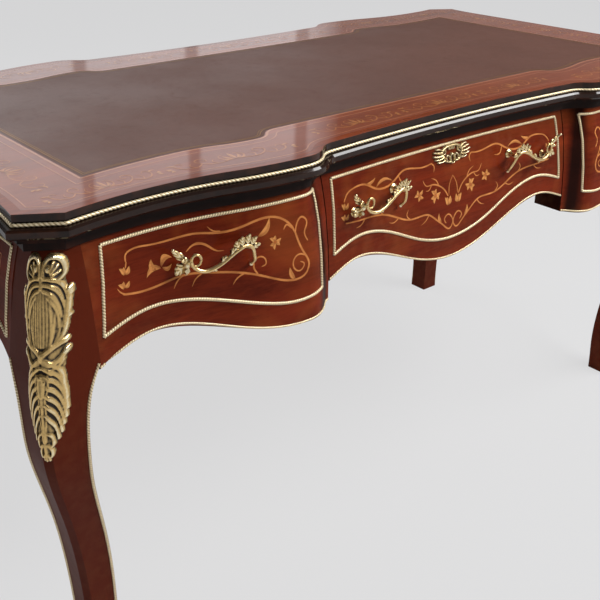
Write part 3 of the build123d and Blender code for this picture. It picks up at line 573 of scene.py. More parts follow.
class Effects:
    """Shader groups that several finishes share, each made once."""

    def __init__(self) -> None:
        """Makes all the groups."""
        self.grain = self._grain()
        self.wear = self._wear()
        self.hollows = self._hollows()
        self.handling = self._handling()

    def _group(self, name: str, inputs: dict[str, object], outputs: Sequence[str]) -> tuple[
            NodeKit, bpy.types.NodeOutputs, Node]:
        """Makes an empty group.

        Args:
            name: The group's name.
            inputs: Default value of each input, a number or a colour, by name.
            outputs: Name of each output, a colour where the name is Color.

        Returns:
            A kit that works on the group, the group's inputs inside it, and its output node.
        """
        group = bpy.data.node_groups.new(name, "ShaderNodeTree")
        for label, value in inputs.items():
            kind = "NodeSocketColor" if isinstance(value, tuple) else "NodeSocketFloat"
            made = group.interface.new_socket(name=label, in_out="INPUT", socket_type=kind)
            made.default_value = (*value, 1.0) if isinstance(value, tuple) else value
        for label in outputs:
            kind = "NodeSocketColor" if label == "Color" else "NodeSocketFloat"
            group.interface.new_socket(name=label, in_out="OUTPUT", socket_type=kind)
        return NodeKit(group), group.nodes.new("NodeGroupInput").outputs, group.nodes.new("NodeGroupOutput")

    def _grain(self) -> Tree:
        """Figure, fibres and pores of a piece of wood whose fibres run along one axis.

        Returns:
            The node group.
        """
        kit, start, end = self._group(
            "wood_figure",
            {"Light": (0.4, 0.2, 0.1), "Dark": (0.1, 0.05, 0.02), "Along X": 1.0, "Along Y": 1.0,
             "Along Z": 1.0, "Figure": 1.0, "Fibres": 0.5, "Pores": 0.3},
            ("Color", "Height"))
        stretch = kit.add("CombineXYZ", X=start["Along X"], Y=start["Along Y"],
                          Z=start["Along Z"]).outputs[0]
        along = kit.add("VectorMath", {"operation": "MULTIPLY"}, i0=kit.place(), i1=stretch).outputs[0]
        cloud = kit.noise(along, 9.0, Detail=4.0, Roughness=0.6, Distortion=1.4)
        bands = kit.add("TexWave", {"wave_type": "RINGS"}, Vector=along, Scale=5.0, Distortion=7.0,
                        Detail=3.0, i4=1.2).outputs["Fac"]
        fibre = kit.noise(along, 160.0, Detail=5.0, Roughness=0.7, Distortion=0.3)
        pore = kit.noise(along, 420.0, Detail=2.0, Roughness=0.5)
        clouded = kit.math("ADD", kit.spread(cloud, 0.3, 0.7), kit.math("MULTIPLY", bands, 0.35))
        figure = kit.math("MULTIPLY", clouded, start["Figure"])
        fine = kit.math("MULTIPLY", kit.spread(fibre, 0.35, 0.7), start["Fibres"])
        share = kit.math("ADD", kit.math("MULTIPLY", figure, 0.55), fine, clamp=True)
        colour = kit.mix(share, start["Light"], start["Dark"])
        specks = kit.math("MULTIPLY", kit.spread(pore, 0.6, 0.72), start["Pores"])
        deep = kit.mix(specks, colour, kit.mix(0.8, colour, start["Dark"], "MULTIPLY"))
        kit.feed(end, Color=deep, Height=kit.math("SUBTRACT", fine, specks))
        return kit.tree

    def _wear(self) -> Tree:
        """Mask of the arrises where a finish has rubbed thin, broken up by noise; on the dark edge moulding
        the lighter colour laid there is also a painted highlight along the rim.

        Returns:
            The node group.
        """
        kit, start, end = self._group(
            "arris_wear_and_highlight", {"Low": 0.53, "High": 0.62, "Amount": 0.5, "Breakup": 60.0},
            ("Mask",))
        sharp = kit.add("NewGeometry").outputs["Pointiness"]
        edge = kit.spread(sharp, start["Low"], start["High"])
        noise = kit.noise(kit.place(), start["Breakup"], Detail=3.0)
        mask = kit.math("MULTIPLY", kit.math("MULTIPLY", edge, kit.spread(noise, 0.4, 0.65)),
                        start["Amount"], clamp=True)
        kit.feed(end, Mask=mask)
        return kit.tree

    def _hollows(self) -> Tree:
        """Dark deposit in the hollows of cast metal, and a rubbed light on its crests.

        Returns:
            The node group.
        """
        kit, start, end = self._group(
            "metal_hollows", {"Depth": 1.0, "Grime": 0.5},
            ("Hollow", "Crest"))
        relief = kit.attribute("relief")
        noise = kit.noise(kit.place(), 210.0, Detail=4.0, Roughness=0.65)
        uneven = kit.math("MULTIPLY", kit.math("SUBTRACT", noise, 0.5), start["Grime"])
        low = kit.math("ADD", kit.math("SUBTRACT", 1.0, relief), uneven)
        hollow = kit.math("MULTIPLY", kit.spread(low, 0.34, 0.8), start["Depth"], clamp=True)
        kit.feed(end, Hollow=hollow, Crest=kit.spread(kit.math("SUBTRACT", relief, uneven), 0.75, 1.1))
        return kit.tree

    def _handling(self) -> Tree:
        """Uneven gloss of a hand-finished surface: soft clouds, and smudges where hands have been.

        Returns:
            The node group.
        """
        kit, start, end = self._group(
            "uneven_gloss", {"Base": 0.2, "Spread": 0.1, "Scale": 6.0}, ("Roughness",))
        place, scale = kit.place(), start["Scale"]
        cloud = kit.noise(place, scale, Detail=5.0, Roughness=0.6)
        smear = kit.noise(place, kit.math("MULTIPLY", scale, 9.0), Detail=3.0, Distortion=2.0)
        smudges = kit.math("MULTIPLY", kit.spread(smear, 0.55, 0.8), 0.5)
        both = kit.math("ADD", kit.spread(cloud, 0.35, 0.7), smudges)
        rough = kit.math("ADD", kit.math("MULTIPLY", both, start["Spread"]), start["Base"])
        kit.feed(end, Roughness=rough)
        return kit.tree


# ---- finishes
class Fibre(Enum):
    """The way the fibres of a piece of wood run: stretch of the figure along x, y and z."""

    ALONG_X = (0.08, 1.0, 1.0)
    ALONG_Y = (1.0, 0.08, 1.0)
    UPRIGHT = (1.0, 1.0, 0.08)


@dataclass(frozen=True)
class Polish:
    """A clear finish over wood."""

    coat: float
    coat_rough: float
    under_rough: float
    under_shine: float


TOP_POLISH = Polish(coat=1.0, coat_rough=0.03, under_rough=0.4, under_shine=0.15)
FRENCH_POLISH = Polish(coat=0.09, coat_rough=0.05, under_rough=0.45, under_shine=0.02)
DARK_POLISH = Polish(coat=0.12, coat_rough=0.08, under_rough=0.5, under_shine=0.02)
EDGE_POLISH = Polish(coat=0.5, coat_rough=0.06, under_rough=0.5, under_shine=0.02)
BARE = Polish(coat=0.0, coat_rough=0.3, under_rough=0.62, under_shine=0.3)
# Near-black painted shade laid on the flanks of the fronts' steps, where shade falls; it is not a stain.
FLANK_PAINTED_SHADE: Colour = (0.006, 0.002, 0.0012)
FLANK_SHADE_TURN: Point2 = (0.33, 0.6)


@dataclass(frozen=True)
class Wood:
    """A veneer or a solid wood."""

    name: str
    light: Colour
    dark: Colour
    fibre: Fibre
    polish: Polish
    figure: float = 1.0
    fibres: float = 0.35
    pores: float = 0.3
    # Colour of rubbed arrises: real wear, and on the dark edge also a painted highlight.
    worn_and_highlight: Colour = (0.35, 0.16, 0.07)
    wear: float = 0.1
    bump: float = 0.06
    glow: float = 0.0
    glow_colour: Colour = (0.34, 0.09, 0.018)
    # How much painted shade darkens the faces turned sideways.
    flank_shade: float = 0.0

    def material(self, effects: Effects) -> Material:
        """Makes the material: the grain, warm clouds, painted shade on faces turned sideways, and rubbed
        arrises (on the dark edge, real wear that also paints a highlight) under a polish.

        Args:
            effects: The shared shader groups.

        Returns:
            The material.
        """
        made, kit, shader = new_material(self.name)
        grain = kit.group(effects.grain, Light=self.light, Dark=self.dark, Figure=self.figure,
                          Fibres=self.fibres, Pores=self.pores)
        for label, value in zip(("Along X", "Along Y", "Along Z"), self.fibre.value):
            grain.inputs[label].default_value = value
        wear = kit.group(effects.wear, Amount=self.wear)
        cloud = kit.noise(kit.place(), 6.0, Detail=3.0, Roughness=0.55, Distortion=1.2)
        glow = kit.spread(cloud, 0.48, 0.72, 0.0, self.glow)
        warm = kit.mix(glow, grain.outputs["Color"], self.glow_colour)
        # Painted shade: the flanks of the fronts' steps, whose normals point along x, are darkened to near
        # black.
        facing = kit.add("SeparateXYZ", Vector=kit.add("NewGeometry").outputs["Normal"]).outputs["X"]
        flank_shade = kit.spread(kit.math("ABSOLUTE", facing), *FLANK_SHADE_TURN, 0.0, self.flank_shade)
        flank_shaded = kit.mix(flank_shade, warm, FLANK_PAINTED_SHADE)
        # The rubbed arrises get the worn colour: real wear, and on the dark edge also a painted highlight.
        kit.feed(shader, Base_Color=kit.mix(wear.outputs["Mask"], flank_shaded, self.worn_and_highlight))
        kit.tilt(shader, self.bump, 0.0006, grain.outputs["Height"])
        polished(kit, shader, self.polish, effects)
        return made


@dataclass(frozen=True)
class RimmedWood(Wood):
    """A dark moulding whose flat rim is veneered and polished like the panel beside it."""

    rim_light: Colour = (0.3, 0.06, 0.02)
    rim_dark: Colour = (0.1, 0.02, 0.01)
    rim_z: float = 0.7797
    rim_coat: float = 1.0

    def material(self, effects: Effects) -> Material:
        """Makes the material: the dark wood below, and the panel's wood and polish on the rim.

        Args:
            effects: The shared shader groups.

        Returns:
            The material.
        """
        made = super().material(effects)
        kit, shader = NodeKit(made.node_tree), made.node_tree.nodes["Principled BSDF"]
        height = kit.add("SeparateXYZ", Vector=kit.place()).outputs["Z"]
        rim = kit.math("GREATER_THAN", height, self.rim_z)
        grain = kit.group(effects.grain, Light=self.rim_light, Dark=self.rim_dark)
        grain.inputs["Along X"].default_value = self.fibre.value[0]
        dark = shader.inputs["Base Color"].links[0].from_socket
        kit.feed(shader, Base_Color=kit.mix(rim, dark, grain.outputs["Color"]),
                 Coat_Weight=kit.spread(rim, 0.0, 1.0, self.polish.coat, self.rim_coat))
        return made


@dataclass(frozen=True)
class InlaidWood:
    """Inlaid woods whose shade runs from light to scorched across each piece."""

    name: str
    light: Colour
    warm: Colour
    scorched: Colour
    polish: Polish = FRENCH_POLISH

    def material(self, effects: Effects) -> Material:
        """Makes the material, from the pieces' hue and relief.

        Args:
            effects: The shared shader groups.

        Returns:
            The material.
        """
        made, kit, shader = new_material(self.name)
        hue, shade = kit.attribute("hue"), kit.attribute("relief")
        grain = kit.group(effects.grain, Light=(1.0, 1.0, 1.0), Dark=(0.62, 0.58, 0.52), Figure=0.5,
                          Fibres=0.6, Pores=0.4)
        grain.inputs["Along X"].default_value = 0.2
        tint = kit.mix(hue, self.light, self.warm)
        scorch = kit.mix(kit.math("SUBTRACT", 1.0, shade, clamp=True), tint, self.scorched)
        grained = kit.mix(1.0, scorch, grain.outputs["Color"], "MULTIPLY")
        kit.feed(shader, Base_Color=grained)
        polished(kit, shader, self.polish, effects)
        return made


@dataclass(frozen=True)
class CastMetal:
    """Gilt bronze or iron, with grime in its hollows and rubbed crests."""

    name: str
    crest: Colour
    body: Colour
    hollow: Colour
    rough: float
    depth: float = 1.0
    chasing: float = 0.25
    shine: float = 1.0

    def material(self, effects: Effects) -> Material:
        """Makes the material, from the pieces' relief.

        Args:
            effects: The shared shader groups.

        Returns:
            The material.
        """
        made, kit, shader = new_material(self.name)
        deep = kit.group(effects.hollows, Depth=self.depth, Grime=0.35)
        hollow = deep.outputs["Hollow"]
        gloss = kit.group(effects.handling, Base=self.rough, Spread=0.16, Scale=30.0)
        pits = kit.noise(kit.place(), 900.0, Detail=3.0, Roughness=0.6)
        bright = kit.mix(deep.outputs["Crest"], self.body, self.crest)
        shine = kit.math("SUBTRACT", self.shine, kit.math("MULTIPLY", hollow, self.shine * 0.7))
        rough = kit.math("ADD", gloss.outputs["Roughness"], kit.math("MULTIPLY", hollow, 0.3))
        kit.feed(shader, Base_Color=kit.mix(hollow, bright, self.hollow), Metallic=shine, Roughness=rough)
        kit.tilt(shader, self.chasing, 0.0003, pits)
        return made


@dataclass(frozen=True)
class Hide:
    """Polished leather with a fine pebbled grain, faded and rubbed in clouds."""

    name: str
    colour: Colour
    faded: Colour
    dark: Colour

    def material(self, effects: Effects) -> Material:
        """Makes the material.

        Args:
            effects: The shared shader groups.

        Returns:
            The material.
        """
        made, kit, shader = new_material(self.name)
        place = kit.place()
        cloud = kit.noise(place, 3.5, Detail=6.0, Roughness=0.6, Distortion=0.6)
        mottle = kit.noise(place, 55.0, Detail=5.0, Roughness=0.7)
        cells = kit.add("TexVoronoi", {"feature": "DISTANCE_TO_EDGE"}, Vector=place, Scale=650.0).outputs[0]
        pebble = kit.spread(cells, 0.0, 0.25)
        base = kit.mix(kit.spread(cloud, 0.3, 0.75), self.colour, self.faded)
        spotted = kit.mix(kit.spread(mottle, 0.5, 0.75, 0.0, 0.35), base, self.dark)
        grained = kit.mix(kit.spread(pebble, 0.0, 1.0, 0.35, 0.0), spotted, self.dark)
        gloss = kit.group(effects.handling, Base=0.42, Spread=0.16, Scale=4.0)
        kit.feed(shader, Base_Color=grained, Roughness=gloss.outputs["Roughness"], Specular_IOR_Level=0.42)
        kit.tilt(shader, 0.22, 0.0004, pebble)
        return made


def polished(kit: NodeKit, shader: Node, polish: Polish, effects: Effects) -> None:
    """Sets a wood's gloss and clear coat from its polish."""
    gloss = kit.group(effects.handling, Base=polish.under_rough, Spread=0.14)
    kit.feed(shader, Roughness=gloss.outputs["Roughness"], Coat_Weight=polish.coat,
             Coat_Roughness=polish.coat_rough, Specular_IOR_Level=polish.under_shine)


def new_material(name: str) -> tuple[Material, NodeKit, Node]:
    """Makes a material with an empty Principled shader.

    Args:
        name: The material's name.

    Returns:
        The material, a kit that works on its nodes, and its shader.
    """
    made = bpy.data.materials.new(name)
    made.use_nodes = True
    return made, NodeKit(made.node_tree), made.node_tree.nodes["Principled BSDF"]


class Bench:
    """Every finish of the table, made once."""

    def __init__(self) -> None:
        """Makes the shader groups and the materials."""
        effects = Effects()
        red, deep = srgb(122, 43, 18), srgb(70, 19, 7)
        top_red, top_deep = srgb(158, 74, 36), srgb(100, 38, 15)

        def oak(name: str, fibre: Fibre) -> Material:
            """Planed oak whose fibres run one way."""
            return Wood(name, srgb(196, 158, 112), srgb(150, 108, 68), fibre, BARE, fibres=0.7, pores=0.7,
                        worn_and_highlight=srgb(205, 172, 128), wear=0.2, bump=0.3).material(effects)

        def inlaid(name: str, light: Colour, warm: Colour, scorched: Colour,
                   polish: Polish = FRENCH_POLISH) -> Material:
            """Inlaid woods under a polish."""
            return InlaidWood(name, light, warm, scorched, polish).material(effects)

        # The fronts' flanks, which face along x, get painted shade.
        self.front_veneer = Wood("front_veneer", red, deep, Fibre.ALONG_X, FRENCH_POLISH, glow=0.28,
                                 flank_shade=0.9).material(effects)
        self.side_veneer = Wood("side_veneer", red, deep, Fibre.ALONG_Y, FRENCH_POLISH).material(effects)
        self.top_veneer = Wood("top_veneer", top_red, top_deep, Fibre.ALONG_X, TOP_POLISH,
                               glow=0.3).material(effects)
        self.leg_veneer = Wood("leg_veneer", srgb(86, 30, 12), srgb(62, 21, 9), Fibre.UPRIGHT, FRENCH_POLISH,
                               figure=0.06, fibres=0.14, pores=0.15, wear=0.05).material(effects)
        self.ebonised = Wood("ebonised_wood", srgb(34, 18, 13), srgb(17, 10, 8), Fibre.ALONG_X, DARK_POLISH,
                             figure=0.6, worn_and_highlight=srgb(86, 44, 28), wear=0.35).material(effects)
        # The edge's rubbed arrises are real wear and also a painted highlight along the rim's arris.
        self.edge = RimmedWood("ebonised_edge", srgb(38, 20, 13), srgb(17, 10, 7), Fibre.ALONG_X, EDGE_POLISH,
                               figure=0.6, worn_and_highlight=srgb(100, 54, 32), wear=0.3, rim_light=top_red,
                               rim_dark=top_deep).material(effects)
        self.oak, self.oak_across = oak("planed_oak", Fibre.ALONG_Y), oak("planed_oak_across", Fibre.ALONG_X)
        self.marquetry = inlaid("marquetry", srgb(226, 160, 92), srgb(204, 116, 62), srgb(112, 46, 20))
        self.stringing = inlaid("boxwood_stringing", srgb(206, 138, 92), srgb(188, 116, 76),
                                srgb(120, 52, 24))
        self.top_marquetry = inlaid("top_marquetry", srgb(214, 146, 84), srgb(184, 104, 58),
                                    srgb(104, 44, 20), TOP_POLISH)
        self.top_stringing = inlaid("top_stringing", srgb(196, 128, 92), srgb(176, 104, 70),
                                    srgb(112, 50, 26), TOP_POLISH)
        self.leather = Hide("tooled_leather", srgb(93, 58, 46), srgb(104, 67, 55),
                            srgb(69, 42, 32)).material(effects)

        def cast(name: str, crest: Colour, body: Colour, hollow: Colour, rough: float, **more: float
                 ) -> Material:
            """A cast metal."""
            return CastMetal(name, crest, body, hollow, rough, **more).material(effects)

        self.tooling = cast("gold_tooling", srgb(196, 160, 104), srgb(170, 130, 80), srgb(120, 84, 56), 0.45)
        self.gilt = cast("gilt_bronze", srgb(255, 244, 206), srgb(214, 180, 118), srgb(30, 19, 9), 0.22,
                         depth=1.25, shine=0.9)
        self.pale_gilt = cast("rubbed_gilt", srgb(255, 250, 228), srgb(208, 184, 136), srgb(34, 22, 11), 0.2,
                              depth=1.3, shine=0.85)
        self.trim_gilt = cast("gilt_trim", srgb(255, 244, 216), srgb(232, 210, 166), srgb(74, 52, 28), 0.38,
                              depth=0.9, shine=0.55)
        self.iron = cast("iron", srgb(150, 146, 140), srgb(104, 100, 96), srgb(52, 46, 42), 0.42)


# ---- carcass
@dataclass
class Carcass:
    """The nodes that keep their own shape, and the finish of each."""

    bench: Bench

    def dress(self, nodes: dict[str, Solid]) -> None:
        """Gives each kept node its finish.

        Args:
            nodes: The frame's nodes by name.
        """
        bench = self.bench
        rules: tuple[tuple[tuple[str, ...], Material], ...] = (
            (("_pull_bolts", "_screws", "lock_", "strike_"), bench.iron),
            (("_trim", "_trims", "knee_mount", "_pull", "_pulls", "escutcheon"), bench.gilt),
            (("leather",), bench.leather), (("top_panel",), bench.top_veneer),
            (("edge_moulding",), bench.edge), (("cornice",), bench.ebonised),
            (("side_apron",), bench.side_veneer), (("leg_",), bench.leg_veneer),
            (("back_panel", "_front"), bench.front_veneer),
            (("_sides", "partition", "runners", "guides", "kickers"), bench.oak),
            (("_back", "_bottom", "rail", "stiles"), bench.oak_across))
        for name, node in nodes.items():
            finish = next(finish for words, finish in rules if any(word in name for word in words))
            node.data.materials.clear()
            node.data.materials.append(finish)
            LOG.info("%s: %s", name, finish.name)


# ---- faces that carry ornament
class Side(Enum):
    """A side of the table, and the way in from it."""

    FRONT = (0.0, 1.0)
    BACK = (0.0, -1.0)
    LEFT = (1.0, 0.0)
    RIGHT = (-1.0, 0.0)

    @property
    def inward(self) -> Vector:
        """Direction from this side towards the table's middle."""
        return Vector((*self.value, 0.0))

    def spot(self, along: float, z: float, reach: float) -> Vector:
        """A point at a reach outside this side, at a place along it and a height."""
        x, y = self.value
        return Vector((along if y else -x * reach, along if x else -y * reach, z))


def faces_of(node: Solid) -> BVHTree:
    """A search tree of a node's faces, in millimetres."""
    return BVHTree.FromPolygons([node.matrix_world @ v.co / MM for v in node.data.vertices],
                                [tuple(face.vertices) for face in node.data.polygons])


class Canvas:
    """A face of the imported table, on which a place is given by its distance along and its height."""

    REACH = 1500.0
    HALF_DEPTH = 370.0

    def __init__(self, side: Side, node: Solid) -> None:
        """Reads the faces of a node, seen from a side."""
        self.side = side
        self.tree = faces_of(node)

    def facing(self, along: float, z: float) -> tuple[Vector, Vector]:
        """The point on the face at a place, and the face's outward direction there.

        Args:
            along: The place along the side.
            z: The height.

        Returns:
            The point and the direction.
        """
        spot = self.side.spot(along, z, self.REACH)
        point, normal, _, _ = self.tree.ray_cast(spot, self.side.inward)
        if point is None:
            beside = spot + self.side.inward * (self.REACH - self.HALF_DEPTH)
            point = self.tree.find_nearest(beside)[0]
            point = Vector((*[s if not i else p for s, p, i in zip(spot, point, self.side.value)], z))
            normal = -self.side.inward
        if normal.dot(self.side.inward) > 0:
            normal = -normal
        return point, normal


# ---- rope and bead trims
def rope_wave(share: float, angle: float, turns: float, strands: int) -> float:
    """Height of a rope's strands, 0 between them and 1 on them."""
    return abs(math.cos(strands * (angle - 2 * math.pi * turns * share) / 2))


@dataclass
class Mouldings:
    """The twisted rope round the top."""

    plan: TopPlan
    bench: Bench
    rope_inset: float = 2.1
    rope_z: float = 766.2
    rope_r: float = 2.6
    lay: float = 12.0
    strands: int = 2
    waist: float = 0.66
    swell: float = 0.34
    sides: int = 12
    step: float = 1.5

    def build(self) -> None:
        """Makes the twisted rope."""
        path = [p + Vector((0, 0, self.rope_z)) for p in self.plan.outline(self.rope_inset, self.step)]
        length = sum((b - a).length for a, b in zip(path, path[1:]))
        turns = float(round(length / self.lay))
        rope = Work()

        def radius(share: float, angle: float) -> float:
            """Thickness of the rope."""
            wave = rope_wave(share, angle, turns, self.strands) ** 0.8
            return self.rope_r * (self.waist + self.swell * wave)

        def relief(share: float, angle: float) -> float:
            """Relief of the rope, low between its strands."""
            return 0.15 + 0.85 * rope_wave(share, angle, turns, self.strands)

        rope.tube(path, radius, self.sides, closed=True, relief=relief)
        rope.piece("twisted_rope", self.bench.trim_gilt, "carcass", "gilt_bronze", ["top_rope_trim"])


@dataclass
class BeadTrims:
    """Half-round beaded strips on the fronts, sides, back and legs."""

    bench: Bench
    pitch: float = 4.0
    frame_r: float = 2.4
    frame_half: float = 2.5
    edge_r: float = 1.6
    edge_half: float = 1.7
    slant: float = 0.32
    leg_half: float = 2.0
    leg_r: float = 2.2
    leg_inset: float = 2.5
    leg_foot: float = 6.0
    edge_rise: float = 2.0
    points: int = 7
    sunk: float = 0.3

    @property
    def step(self) -> float:
        """Distance between samples: a quarter of a bead."""
        return self.pitch / 4

    def strip(self, work: Work, path: Sequence[tuple[Vector, Vector]], half: float, proud: float) -> None:
        """Adds a beaded strip.

        Args:
            work: The piece that it joins.
            path: Points on a face, each with the face's outward direction.
            half: Half the strip's width.
            proud: How far it stands out.
        """
        points = [p for p, _ in path]
        at, rows, lows = 0.0, [], []
        for index, ((point, out), way) in enumerate(zip(path, tangents(points))):
            if index:
                at += (point - points[index - 1]).length
            aside = way.cross(out).normalized()
            row, low = [], []
            for k in range(self.points):
                angle = math.pi * (k / (self.points - 1) - 0.5)
                wave = abs(math.sin(math.pi * (at / self.pitch + self.slant * math.sin(angle))))
                swell = 0.5 + 0.5 * wave ** 0.7
                sunk = self.sunk if k in (0, self.points - 1) else 0.0
                row.append(point + aside * (half * math.sin(angle) * (0.85 + 0.15 * wave))
                           + out * (proud * math.cos(angle) * swell - sunk))
                low.append(wave)
            rows.append(row)
            lows.append(low)
        work.grid(rows, lambda r, c: lows[r][c])

    def on(self, canvas: Canvas, line: Sequence[Vector]) -> list[tuple[Vector, Vector]]:
        """Puts a line of places on a face."""
        return [canvas.facing(p.x, p.y) for p in line]

    def frame(self, work: Work, canvas: Canvas, curve: Sequence[Point2], ends: Point2, top: float) -> None:
        """Adds the beaded frame of a panel.

        Args:
            work: The piece that it joins.
            canvas: The face that carries it.
            curve: Points of the frame's lower edge.
            ends: Places of its two upper corners.
            top: Height of its upper edge.
        """
        lower = spline(curve, self.step)
        left, right = Vector((ends[0], top, 0)), Vector((ends[1], top, 0))
        for start, end in ((lower[-1], right), (right, left), (left, lower[0])):
            line = even_steps([start, end], self.step)
            self.strip(work, self.on(canvas, line), self.frame_half, self.frame_r)
        self.strip(work, self.on(canvas, lower), self.frame_half, self.frame_r)

    def legs(self) -> None:
        """Makes the beads along the inner edges of the legs' outer faces."""
        one, beads = Work(), Work()
        levels = [level for level in spline(Layout.LEG, self.step) if level.x >= self.leg_foot]
        front, side = [], []
        for z, lean, width in levels:
            face_x, face_y, edge = Layout.KNEE[0] - lean, Layout.KNEE[1] - lean, width - self.leg_inset
            front.append((Vector((face_x + edge, face_y, z)), Vector((0, -1, 0))))
            side.append((Vector((face_x, face_y + edge, z)), Vector((-1, 0, 0))))
        for path in (front, side[::-1]):
            self.strip(one, path, self.leg_half, self.leg_r)
        for sx, sy in ((1, 1), (1, -1), (-1, 1), (-1, -1)):
            beads.join(one.mirrored(sx, sy))
        beads.piece("leg_beads", self.bench.trim_gilt, "carcass", "gilt_bronze", ["leg_bead_trims"])

    def build(self, canvases: dict[str, Canvas]) -> None:
        """Makes the beads of every panel.

        Args:
            canvases: The faces by name.
        """
        end = (Layout.END_FRAME, Layout.END_TOPS, Layout.END_EDGE)
        row = {"left": end, "centre": (Layout.MIDDLE_FRAME, Layout.MIDDLE_TOPS, Layout.MIDDLE_EDGE),
               "right": (Layout.flipped(end[0]), mirror_ends(end[1]), Layout.flipped(end[2]))}
        side = (Layout.SIDE_FRAME, Layout.SIDE_TOPS, Layout.SIDE_EDGE)
        plans = [(f"drawer_{part}", f"drawer_{part}", f"drawer_{part}_gilt_trim", {part: panel})
                 for part, panel in row.items()]
        plans += [(f"side_{hand}", "carcass", f"side_gilt_trim_{hand}", {f"side_{hand}": side})
                  for hand in ("left", "right")]
        plans.append(("back", "carcass", "back_gilt_trims",
                      {f"back_{part}": panel for part, panel in row.items()}))
        for name, body, node, panels in plans:
            work = Work()
            for face, (frame, tops, edge) in panels.items():
                self.frame(work, canvases[face], frame, tops, Layout.BEAD_TOP)
                self.edge(work, canvases[face], edge)
            work.piece(f"beads_{name}", self.bench.trim_gilt, body, "gilt_bronze", [node])
        self.legs()

    def edge(self, work: Work, canvas: Canvas, curve: Sequence[Point2]) -> None:
        """Adds the fine bead along an apron's lower edge."""
        line = [p + Vector((0, self.edge_rise, 0)) for p in spline(curve, self.step)]
        self.strip(work, self.on(canvas, line), self.edge_half, self.edge_r)


def evenly(half: tuple[Point2, ...]) -> tuple[Point2, ...]:
    """A curve from its left half, which ends in the middle."""
    return half + tuple((-x, z) for x, z in reversed(half[:-1]))


class Layout:
    """Curves and places that the fronts, the back, the sides and the legs share.

    The curves are places along a face and heights. LEG gives heights, how far the leg leans out of the knee's
    corner, and its width there. KNEE is the corner's place in the plan.
    """

    BEAD_TOP = 716.5
    END_FRAME = ((-687.5, 602), (-620, 617.5), (-517, 601.5), (-443, 578.5), (-375, 566.5),
                 (-334, 571))
    END_TOPS = (-672.5, -331.5)
    MIDDLE_FRAME = evenly(((-287.5, 601.5), (-232, 616.5), (-160, 603.5), (-85, 570.5), (0, 553.5)))
    MIDDLE_TOPS = (-280.5, 280.5)
    SIDE_FRAME = evenly(((-281.5, 595.5), (-215, 623.5), (-110, 602.5), (0, 586.5)))
    SIDE_TOPS = (-281.5, 281.5)
    END_EDGE = ((-698.5, 561), (-613, 583), (-481, 549), (-365, 527), (-301.5, 531))
    MIDDLE_EDGE = evenly(((-298.5, 562), (-236, 580), (-154, 561), (-81, 531), (0, 516)))
    SIDE_EDGE = evenly(((-296, 556), (-222, 588), (-120, 566), (0, 548)))
    LEG = ((0, -32, 48), (70, -35, 47), (145, -31, 49), (236, -19, 51),
           (320, -1, 52), (400, 21, 56), (455, 32, 61), (510, 34, 65),
           (545, 33, 72), (575, 30, 84))
    KNEE = (-754, -351)
    PULL_Z = 664
    END_PULL = 515
    MIDDLE_PULL = 193
    PARTS = ("left", "centre", "right")

    @staticmethod
    def flipped(points: Sequence[Point2]) -> tuple[Point2, ...]:
        """A curve turned over across the middle, its ends swapped."""
        return tuple((-x, z) for x, z in reversed(points))


def mirror_ends(ends: Point2) -> Point2:
    """The two ends of a run, turned over across the middle."""
    return (-ends[1], -ends[0])


# ---- inlaid woods
@dataclass(frozen=True)
class Vine:
    """A ribbon of inlaid wood: its places, and its widths at the start, the middle and the end."""

    points: tuple[Point2, ...]
    widths: tuple[float, float, float] = (3.0, 2.2, 0.8)


@dataclass(frozen=True)
class Blade:
    """A leaf of inlaid wood from its base to its tip, bent to one side."""

    base: Point2
    tip: Point2
    width: float
    bend: float = 0.0


@dataclass(frozen=True)
class Flower:
    """A flower of inlaid wood: its middle, its reach, the number of its petals and its turn in degrees."""

    centre: Point2
    reach: float
    petals: int = 5
    turn: float = 90.0
    spread: float = 360.0

    def blades(self) -> list[Blade]:
        """The petals, as leaves.

        Returns:
            One leaf for each petal.
        """
        step = self.spread / (self.petals if self.spread == 360.0 else max(1, self.petals - 1))
        first = self.turn - (0.0 if self.spread == 360.0 else self.spread / 2)
        found = []
        x, y = self.centre
        for k in range(self.petals):
            angle = math.radians(first + k * step)
            reach = self.reach * (1.0 if k % 2 == 0 else 0.86)
            tip = (x + math.cos(angle) * reach, y + math.sin(angle) * reach)
            root = (x + math.cos(angle) * self.reach * 0.12, y + math.sin(angle) * self.reach * 0.12)
            found.append(Blade(root, tip, self.reach * 0.46, 0.12 if k % 2 else -0.12))
        return found


@dataclass(frozen=True)
class Pattern:
    """A design of vines, leaves and flowers."""

    vines: tuple[Vine, ...] = ()
    blades: tuple[Blade, ...] = ()
    flowers: tuple[Flower, ...] = ()


